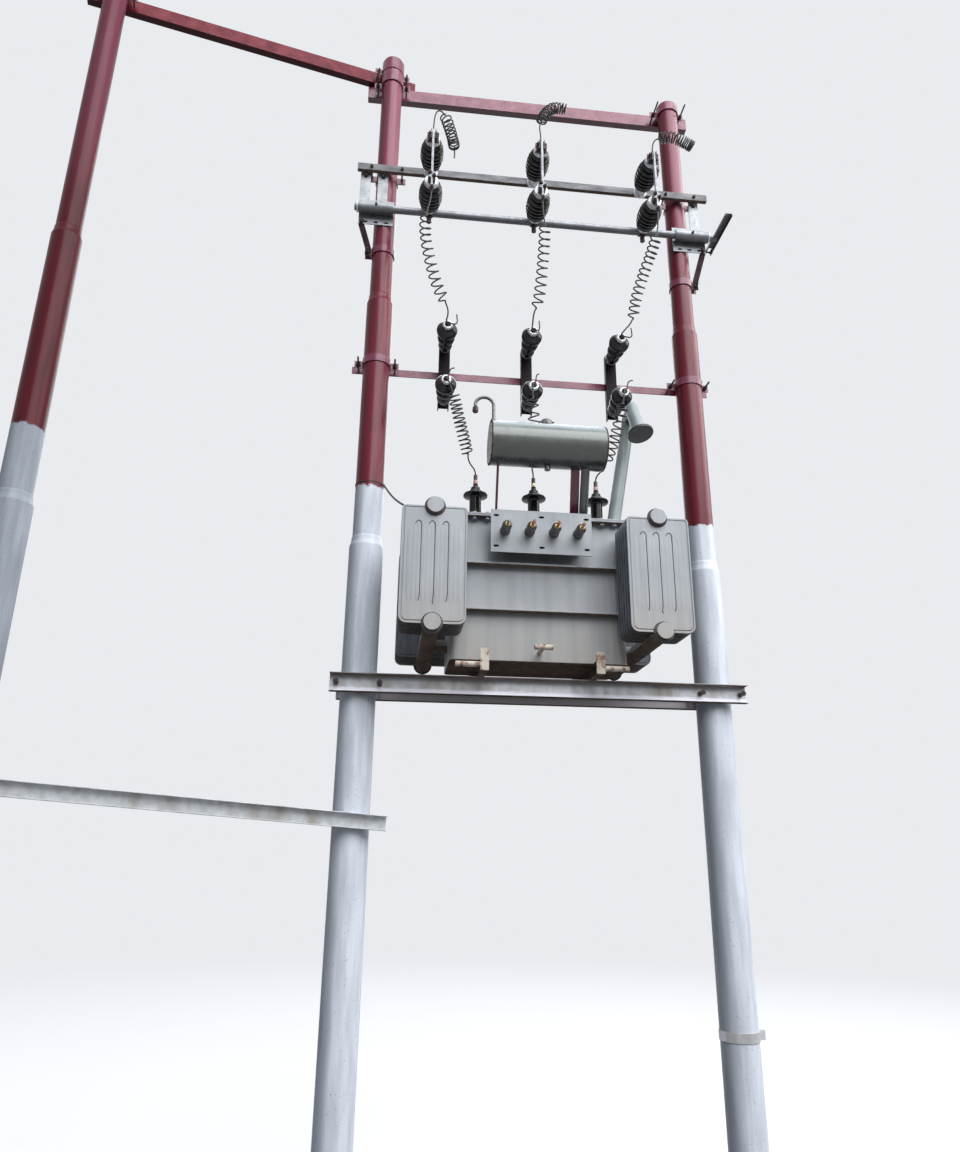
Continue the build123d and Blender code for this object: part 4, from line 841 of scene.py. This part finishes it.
# A darker grey for the panels' side edges and the panels inside each bank: painted shade between the panels.
panel_shade = finish("grey_enamel_painted_shade", (25, 0.35, 0.75, (1, 1, 0.2)), ("#6C7178", "#50545A"), (0.5, 0.75), (3, 0.15))
panel = plate(PANEL_W, PANEL_TOP_Z - PANEL_LOW_Z, (0, 0, (PANEL_LOW_Z + PANEL_TOP_Z) / 2))
for level, radius in ((PANEL_LOW_Z, LOW_CORNER), (PANEL_TOP_Z, TOP_CORNER)):
    pick(panel, "VERT", lambda corner: abs(corner.co.z - level) < 0.001)
    bpy.ops.mesh.bevel(offset=radius, segments=6, affect="VERTICES")
bpy.ops.mesh.select_all(action="SELECT")
bpy.ops.mesh.extrude_region_move(TRANSFORM_OT_translate={"value": (0, PANEL_T, 0)})
close_outward()
pick(panel, "FACE", lambda face: abs(face.normal.y) > 0.9)
for width, lift in ((0.0012, 0.0012), (RIM_W, 0.0), (0.0015, -RIM_STEP), (0.003, 0.0), (0.004, RIM_STEP)):
    bpy.ops.mesh.inset(thickness=width, depth=lift)
bpy.ops.object.mode_set(mode="OBJECT")
for bank, first_y in (("front", -PANEL_FACE_Y), ("rear", PANEL_FACE_Y - PANEL_T - (PANEL_COUNT - 1) * PANEL_PITCH)):
    twin = bpy.data.objects.new("panel", panel.data.copy())
    stack = copies(twin, [
        Matrix.Translation((x, first_y + index * PANEL_PITCH, 0)) for x in RAD_X for index in range(PANEL_COUNT)
    ])
    settle(stack, f"radiators_{bank}_panels", [tank_enamel, panel_shade], replaces=["radiators_" + bank])
    # Side edges and inner panels take the darker grey: painted shade.
    for face in stack.data.polygons:
        face.material_index = int(abs(face.normal.x) > 0.6 or abs(face.center.y) < INNER_Y)
    dirt_and_shade_below(stack, -0.35)
bpy.data.objects.remove(panel)
dirt_and_shade_below(dress("radiator_headers", 3.0, "header_pipes", tank_enamel), -0.15)
FLUTE_HALF_W, FLUTE_HALF_L, FLUTE_RISE = 0.0145, 0.205, 0.0015
GROUP_PITCH, FLUTE_PITCH, FLUTE_MIDDLE_Z, FLUTE_SHIFT = 0.071, 0.0225, 3.178, 0.003
FLUTE_Y = PANEL_FACE_Y * 1.0024       # just proud of the sheet
flute = squeezed(turned([
    (share * FLUTE_HALF_W, way * (FLUTE_HALF_L - back))
    for way in SIDES for share, back in ((0.12, 0.0), (0.45, 0.012), (0.78, 0.032), (1.0, 0.060))[::-way]
], 16), (1, FLUTE_RISE / FLUTE_HALF_W, 1))
places = [
    Matrix.Translation((
        x + group * GROUP_PITCH + index * FLUTE_PITCH + FLUTE_SHIFT, way * FLUTE_Y, FLUTE_MIDDLE_Z,
    ))
    for x in RAD_X for way in SIDES for group in (-1.5, -0.5, 0.5, 1.5) for index in (-1, 0, 1)
]
settle(copies(flute, places), "panel_flutes", tank_enamel)

# Welds: the panel's two sheets are seam welded between groups of flutes, each seam ending in a hook.
# Along them the dark is partly dirt and dark primer and partly painted shade of the seam's groove, and the dark
# rings round the headers where they pass through are painted shadow.
seam_dirt_and_shade = finish("weld_seam_dirt_and_painted_shade", (14, 0.35, 0.75, (1, 1, 0.3)), ("#303338", "#55575B"), (0.6, 0.85), (2, 0.2))
SEAM_R = 0.0024
SEAM = ((0, -217), (-7, -203), (0, -190), (0, -100), (0, 0), (0, 100), (0, 190),
        (0, 203), (1, 219), (-6, 233), (-16, 236), (-27, 229), (-32, 217))
seams = []
for centre_x in RAD_X:
    for way in SIDES:
        for seam in (-1, 0, 1):
            start_x = centre_x + FLUTE_SHIFT + seam * GROUP_PITCH
            start = Vector((start_x, way * (PANEL_FACE_Y + 0.0015), FLUTE_MIDDLE_Z))
            line = [start + Vector((across, 0, up)) / 1000 for across, up in SEAM[abs(seam):]]
            seams.append(wire("seam", line, SEAM_R, 1, 4))
HEADER_R, COLLAR_R = 0.04445, 0.056
# A thin dark ring round each header at the panel's face: painted shadow.
collar = turned([
    (COLLAR_R, 0.0), (COLLAR_R - 0.002, 0.004), (HEADER_R + 0.002, 0.006), (HEADER_R - 0.001, 0.006),
], 40)
places = []
for x in RAD_X:
    for z in (2.862, 3.497):
        places += [facing_viewer(x, -PANEL_FACE_Y - 0.001, z), facing_back(x, PANEL_FACE_Y + 0.001, z)]
settle(meshed(seams, copies(collar, places)), "panel_weld_seams", seam_dirt_and_shade)

# Tie wire: soft iron wire looped from the middle pole to the left bank's top corner and twisted tight.
# Two strands lie round each other, dark with bare bright spots.
TIE_FROM, TIE_TO = Vector((0.080, -0.045, 3.815)), Vector((0.199, -0.495, 3.496))
TIE_R, TWIST_R, TIE_TURNS, TIE_STEPS, TIE_SAG = 0.0022, 0.0045, 15, 6, 0.018
run = TIE_TO - TIE_FROM
side = run.cross(Vector((0, 0, 1))).normalized()
other = run.cross(side).normalized()
strands = []
for start in (0.0, math.pi):
    line = []
    for index in range(TIE_TURNS * TIE_STEPS + 1):
        share = index / (TIE_TURNS * TIE_STEPS)
        turn = start + math.tau * TIE_TURNS * share
        sag = Vector((0, 0, -TIE_SAG * math.sin(math.pi * share)))
        line.append(TIE_FROM + run * share + sag + TWIST_R * (side * math.cos(turn) + other * math.sin(turn)))
    strands.append(wire("strand", line, TIE_R, 1, 2))
loop = turned([
    (MID_R + 0.0005, -0.003), (MID_R + 0.0035, -0.002), (MID_R + 0.0035, 0.002), (MID_R + 0.0005, 0.003),
], 64)
loop.location.z = TIE_FROM.z
settle(meshed(strands, loop), "twisted_tie_wire", dark_wire)

# Conservator: a rolled and welded drum that holds the spare oil, in glossy grey green enamel.
# A flat post, a thin rod and the oil pipe hold it off the cover.
# Faces that look up are painted pale, a painted reflection of the sky, and faces that look down near black, painted
# shade.
drum_enamel = finish("grey_green_gloss_enamel", (90, 0.35, 0.75), ("#6E7773", "#7C8581"), (0.22, 0.42), (12, 0.15),
                     (patches, 30, 0.5, 0.8, (1, 1, 0.15), "#626966"), (ranging, 0.42, 0.66, 0.85, "#B9C4C9"),
                     (ranging, 0.35, -0.55, 0.9, "#282926"), Coat_Weight=0.4, Coat_Roughness=0.2)
dress("conservator", 2.0, "oil_drum", drum_enamel)
DRUM_R, DRUM_Y, DRUM_Z = 0.125, -0.400, 3.940
rim = turned([
    (DRUM_R - 0.012, -0.004), (DRUM_R + 0.0005, -0.004), (DRUM_R + 0.002, -0.002), (DRUM_R + 0.002, 0.002),
    (DRUM_R + 0.0005, 0.004), (DRUM_R - 0.004, 0.005),
], 96)
rims = copies(rim, [
    Matrix.Translation((x, DRUM_Y, DRUM_Z)) @ Matrix.Rotation(way * math.pi / 2, 4, "Y")
    for x, way in ((0.666, 1), (1.308, -1))
])
settle(rims, "drum_end_welds", bolt_steel)
FILLER_X, FILLER_TOP_Z = 0.987, 4.101
half_bar = [(0.010, 0.008), (0.0065, 0.012), (0.0065, 0.042), (0.004, 0.044)]
bar = turned([(radius, -at) for radius, at in reversed(half_bar)] + half_bar, 20)
bar.matrix_world = Matrix.Translation((FILLER_X, DRUM_Y, FILLER_TOP_Z - 0.007)) @ LYING
ring = turned([(0.031, -0.010), (0.034, -0.008), (0.034, 0.006), (0.031, 0.008)], 8)
ring.location = (FILLER_X, DRUM_Y, FILLER_TOP_Z - 0.022)
settle(joined([bar, ring]), "filler_cap_bar", drum_enamel)
dress("breather_pipe", 1.0, "breather_tube", drum_enamel)
tube_end = turned([(0.0125, -0.010), (0.0125, -0.006), (0.0135, 0.024), (0.011, 0.028)], 20)
tip = joined([nut(-0.006, 0.0185, 0.026), tube_end])
settle(copies(tip, [Matrix.Translation((0.580, DRUM_Y, 4.136))]), "breather_tip_nut", bolt_steel)
dress("conservator_supports", 1.0, "drum_supports", maroon)
dress("oil_pipe", 1.0, "oil_feed_pipe", drum_enamel)

# Explosion vent: a mitred gooseneck of welded pipe whose mouth is closed by a flanged disc.
# The pipe's enamel has faded and its downward faces are painted dark as painted shade; the disc's face is painted a
# near-black green.
# Downward faces of the pipe darken: painted shade.
vent_grey = finish("faded_grey_green_enamel", (110, 0.35, 0.75), ("#7C8788", "#8E989A"), (0.3, 0.5), (10, 0.15),
                   (ranging, -0.1, -0.7, 0.9, "#333836"), Coat_Weight=0.2, Coat_Roughness=0.3)
vent_black = finish("dull_black_green_enamel", (40, 0.35, 0.75), ("#17191A", "#232625"), (0.4, 0.6), (5, 0.15))
vent = dress("explosion_vent", 1.5, "vent_gooseneck", [vent_grey, vent_black])
MOUTH = Vector((1.587, -0.228, 4.160))
MOUTH_WAY = (MOUTH - Vector((1.560, -0.180, 4.335))).normalized()
for face in vent.data.polygons:
    out = face.center - MOUTH
    face.material_index = int(out.dot(MOUTH_WAY) > -0.004 and out.length < 0.12)

# Lower brace: a light channel between the middle and outer poles, held by half clamps.
# A plain steel band on the right pole carries nothing now.
brace_paint = aluminium_paint("plain_aluminium_paint")
dress("lower_brace", 2.0, "brace_channel", brace_paint)
dress("pole_band", 1.5, "right_pole_band", brace_paint)

# Curly conductors: solid round wire wound into springs so that a moving contact can travel.
# Tinned copper gone dark outdoors. Each is clamped at its ends and hangs by its own stiffness.
WIRE_D, COIL_D, STEPS_A_TURN, LEAD_STEP = 0.009, 0.080, 16, 0.03
COIL_SHARE = 0.93       # of the solid's width, so that the uneven turns stay inside it


def centre_of(holder):
    """The points that a wire without thickness follows."""
    mesh = bpy.data.meshes.new_from_object(holder)
    line = [vertex.co.copy() for vertex in mesh.vertices]
    bpy.data.meshes.remove(mesh)
    return line


def at_length(line, lengths, distance):
    """Point and direction on a line at a distance from its start."""
    distance = min(max(distance, 0.0), lengths[-1])
    index = 0
    while index < len(lengths) - 2 and lengths[index + 1] < distance:
        index += 1
    step = line[index + 1] - line[index]
    share = (distance - lengths[index]) / max(step.length, 1e-9)
    return line[index] + step * share, step.normalized()


def spring_points(route, start, end, turns, crowd, depth):
    """Lead, helix and lead as one row of points. crowd above 1 packs the turns towards the end."""
    guide = wire("guide", [[value / 1000 for value in point] for point in route], steps=24)
    line = centre_of(guide)
    bpy.data.objects.remove(guide)
    lengths = [0.0]
    for before, here in zip(line, line[1:]):
        lengths.append(lengths[-1] + (here - before).length)
    whole = lengths[-1]
    noise = random.Random(turns)
    wobble = [noise.uniform(-1, 1) for turn in range(turns + 2)]
    first, last = start * whole, end * whole
    leads = max(3, int(first / LEAD_STEP))
    points = [at_length(line, lengths, first * step / leads)[0] for step in range(leads)]
    side = Vector((1, 0, 0))
    for step in range(turns * STEPS_A_TURN + 1):
        turn = step / STEPS_A_TURN
        share = turn / turns
        lean = wobble[int(turn)] * (1 - turn % 1) + wobble[int(turn) + 1] * (turn % 1)
        travel = 1 - (1 - share) ** crowd + 0.012 * lean * math.sin(math.pi * share)
        place, along = at_length(line, lengths, first + (last - first) * travel)
        side = (side - along * side.dot(along)).normalized()
        other = along.cross(side)
        grow = min(1.0, turn / 0.5, (turns - turn) / 0.5 if end < 1 else 1.0)
        reach = (COIL_D - WIRE_D) / 2 * COIL_SHARE * (1 + 0.05 * lean) * grow
        angle = math.tau * turn
        points.append(place + reach * (side * math.cos(angle) + depth * other * math.sin(angle)))
    if end < 1:
        leads = max(3, int((whole - last) / LEAD_STEP))
        rest = [last + (whole - last) * step / leads for step in range(1, leads + 1)]
        points += [at_length(line, lengths, distance)[0] for distance in rest]
    return points


def curly_conductor(name, route, start, end, turns, crowd=1.0, depth=1.0, lifted=None):
    """One conductor. When lifted is given, the wire is made a mesh where it stands and rides on no body; the
    heights in lifted are not used.
    """
    points = spring_points(route, start, end, turns, crowd, depth)
    piece = wire("curly_" + name, points, steps=3)
    followed = {"path": centre_of(piece)} if lifted else {}
    piece.data.bevel_depth = WIRE_D / 2
    piece.data.materials.append(dark_wire)
    if lifted:
        take(piece)
        bpy.ops.object.convert(target="MESH")
        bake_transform(piece)
    else:
        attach(piece, "structure")
    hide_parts(name)


BLADE_FOOT_Z, FUSE_TOP_Z, FUSE_LOW_Z, STUD_Z, FUSE_BOLT_Y, FUSE_OUT_Y = 5626, 4817, 4437, 3906, -230.15, -285.15
for name, x, terminal, bends, turns in (
    ("switch_jumper_left", 288, 410,
     [(262, -432, 5462), (256, -428, 5300), (296, -405, 5120), (350, -362, 4960), (428, -305, 4862)], 12),
    ("switch_jumper_middle", 980, 937,
     [(992, -432, 5462), (988, -428, 5310), (974, -405, 5110), (966, -352, 4958), (932, -302, 4870)], 11),
    ("switch_jumper_right", 1716, 1492,
     [(1706, -432, 5470), (1676, -426, 5350), (1605, -400, 5150), (1560, -345, 4985), (1558, -300, 4880)], 14),
):
    route = [(x, -434.15, BLADE_FOOT_Z), (x, -434.15, BLADE_FOOT_Z - 70), *bends]
    route += [(terminal, FUSE_OUT_Y, FUSE_TOP_Z), (terminal, FUSE_BOLT_Y, FUSE_TOP_Z)]
    # The upper end is clamped to the blade's foot.
    lifted = ((x / 1000, -0.434, 5.02), (x / 1000, -0.434, 5.60))
    curly_conductor(name, route, 0.21, 0.84, turns, depth=0.5, lifted=lifted)

for name, x, terminal, bends, turns in (
    ("fuse_jumper_left", 622, 410,
     [(450, -296, 4345), (506, -215, 4172), (572, -92, 4012), (578, -66, 3965)], 14),
    ("fuse_jumper_middle", 970, 937,
     [(925, -296, 4345), (950, -215, 4172), (968, -110, 4010), (950, -78, 3975)], 7),
    ("fuse_jumper_right", 1350, 1492,
     [(1478, -296, 4345), (1440, -250, 4135), (1398, -110, 3995), (1385, -78, 3960)], 10),
):
    route = [(terminal, FUSE_BOLT_Y, FUSE_LOW_Z), (terminal, FUSE_OUT_Y, FUSE_LOW_Z), *bends]
    curly_conductor(name, route + [(x, -50, STUD_Z + 44), (x, -50, STUD_Z)], 0.24, 0.80, turns)

for name, x, bends, start, end, turns, crowd in (
    ("line_tail_left", 288,
     [(300, -415, 6285), (348, -420, 6285), (433, -420, 5985), (424, -420, 5905)], 0.42, 0.86, 11, 1.5),
    ("line_tail_middle", 980,
     [(966, -418, 6235), (1006, -420, 6338), (1046, -420, 6386), (1100, -420, 6404), (1146, -420, 6390)],
     0.42, 1.0, 13, 1.0),
    ("line_tail_right", 1716,
     [(1735, -416, 6225), (1790, -420, 6240), (1860, -424, 6250), (1925, -424, 6222), (1985, -424, 6185)],
     0.40, 1.0, 15, 1.5),
):
    route = [(x, -411.15, 6096.5), (x, -411.15, 6166.5), *bends]
    curly_conductor(name, route, start, end, turns, crowd)

# Floor, lamps and camera: a plain pale studio seen from where the photographer stood,
# 4.6 m in front of the row of poles at eye height, looking up at the switch.
BACKDROP, SKY_LIGHT, GROUND_LIGHT = "#E9EBEF", "#DDE4EE", "#4A4846"
FADE_FROM, FADE_TO = 5.0, 13.0
bpy.context.scene.view_settings.view_transform = "Standard"


def seen_directly(material):
    """1 for a ray from the camera, a mirror or glass, and 0 for the light that falls on things."""
    paths = add_node(material, "LightPath").outputs
    shown = paths["Is Camera Ray"]
    for ray in ("Is Glossy Ray", "Is Transmission Ray"):
        shown = add_node(material, "Math", {0: shown, 1: paths[ray]}, operation="MAXIMUM").outputs[0]
    return shown


floor_paint, shader = new_finish("studio_floor", Roughness=0.95)
shader.inputs["Base Color"].default_value = linear("#F4F4F4")
glow = add_node(floor_paint, "Emission", {"Color": linear(BACKDROP), "Strength": 1.0})
place = add_node(floor_paint, "TexCoord").outputs["Object"]
away = add_node(floor_paint, "VectorMath", {0: place, 1: (0.2, -1.0, 0)}, operation="DISTANCE").outputs["Value"]
faded = add_node(floor_paint, "MapRange", {
    "Value": away, "From Min": FADE_FROM, "From Max": FADE_TO, "To Min": 0.45, "To Max": 1.0,
})
pale = add_node(floor_paint, "MixShader", {0: faded.outputs["Result"], 1: shader.outputs[0], 2: glow.outputs[0]})
plain = add_node(floor_paint, "BsdfDiffuse", {"Color": linear(GROUND_LIGHT)})
both = add_node(floor_paint, "MixShader", {0: seen_directly(floor_paint), 1: plain.outputs[0], 2: pale.outputs[0]})
floor_paint.node_tree.links.new(both.outputs[0], floor_paint.node_tree.nodes["Material Output"].inputs["Surface"])
nothing_selected()
bpy.ops.mesh.primitive_plane_add(size=160, location=(0, 0, -0.002))
floor = bpy.context.object
floor.name = "studio_floor"
floor.data.materials.append(floor_paint)

world = bpy.data.worlds.new("studio")
bpy.context.scene.world = world
world.use_nodes = True
rise = ranging(world, -0.15, 0.35, source="Generated")
sky = blend_colours(world, rise, GROUND_LIGHT, SKY_LIGHT)
light = add_node(world, "Background", {"Color": sky, "Strength": 0.8})
backdrop = add_node(world, "Background", {"Color": linear(BACKDROP), "Strength": 1.0})
choice = add_node(world, "MixShader", {0: seen_directly(world), 1: light.outputs[0], 2: backdrop.outputs[0]})
world.node_tree.links.new(choice.outputs[0], world.node_tree.nodes["World Output"].inputs["Surface"])

# Three broad soft panels stand for an overcast sky that is brightest to the right of the camera.
for name, place, target, wide, high, radiance in (
    ("front_panel", (4.2, -9.3, 13.0), (1.0, 0.0, 4.6), 12.0, 11.0, 5.0),
    ("right_panel", (12.5, -2.0, 12.0), (1.0, 0.0, 4.4), 12.0, 10.0, 4.0),
    ("rear_panel", (3.0, 11.0, 12.0), (1.0, 0.0, 4.4), 12.0, 8.0, 2.4),
):
    lamp = bpy.data.lights.new(name, "AREA")
    lamp.shape = "RECTANGLE"
    lamp.size = wide
    lamp.size_y = high
    lamp.energy = radiance * math.pi * wide * high
    holder = bpy.data.objects.new(name, lamp)
    bpy.context.scene.collection.objects.link(holder)
    holder.location = place
    holder.rotation_euler = (Vector(target) - Vector(place)).to_track_quat("-Z", "Y").to_euler()

EYE = (0.1607, -4.5515, 1.754)
HEADING, PITCH, ROLL = [math.radians(angle) for angle in (6.26, 18.54, 0.60)]
LONG_SIDE_PIXELS, FOCAL_PIXELS, SENSOR = 1152, 835.6, 36.0
lens = bpy.data.cameras.new("photographer")
lens.sensor_width = SENSOR
lens.lens = FOCAL_PIXELS / LONG_SIDE_PIXELS * SENSOR
lens.clip_end = 200
viewer = bpy.data.objects.new("photographer", lens)
bpy.context.scene.collection.objects.link(viewer)
viewer.matrix_world = (
    Matrix.Translation(EYE) @ Matrix.Rotation(-HEADING, 4, "Z")
    @ Matrix.Rotation(math.pi / 2 + PITCH, 4, "X") @ Matrix.Rotation(ROLL, 4, "Z")
)
bpy.context.scene.camera = viewer
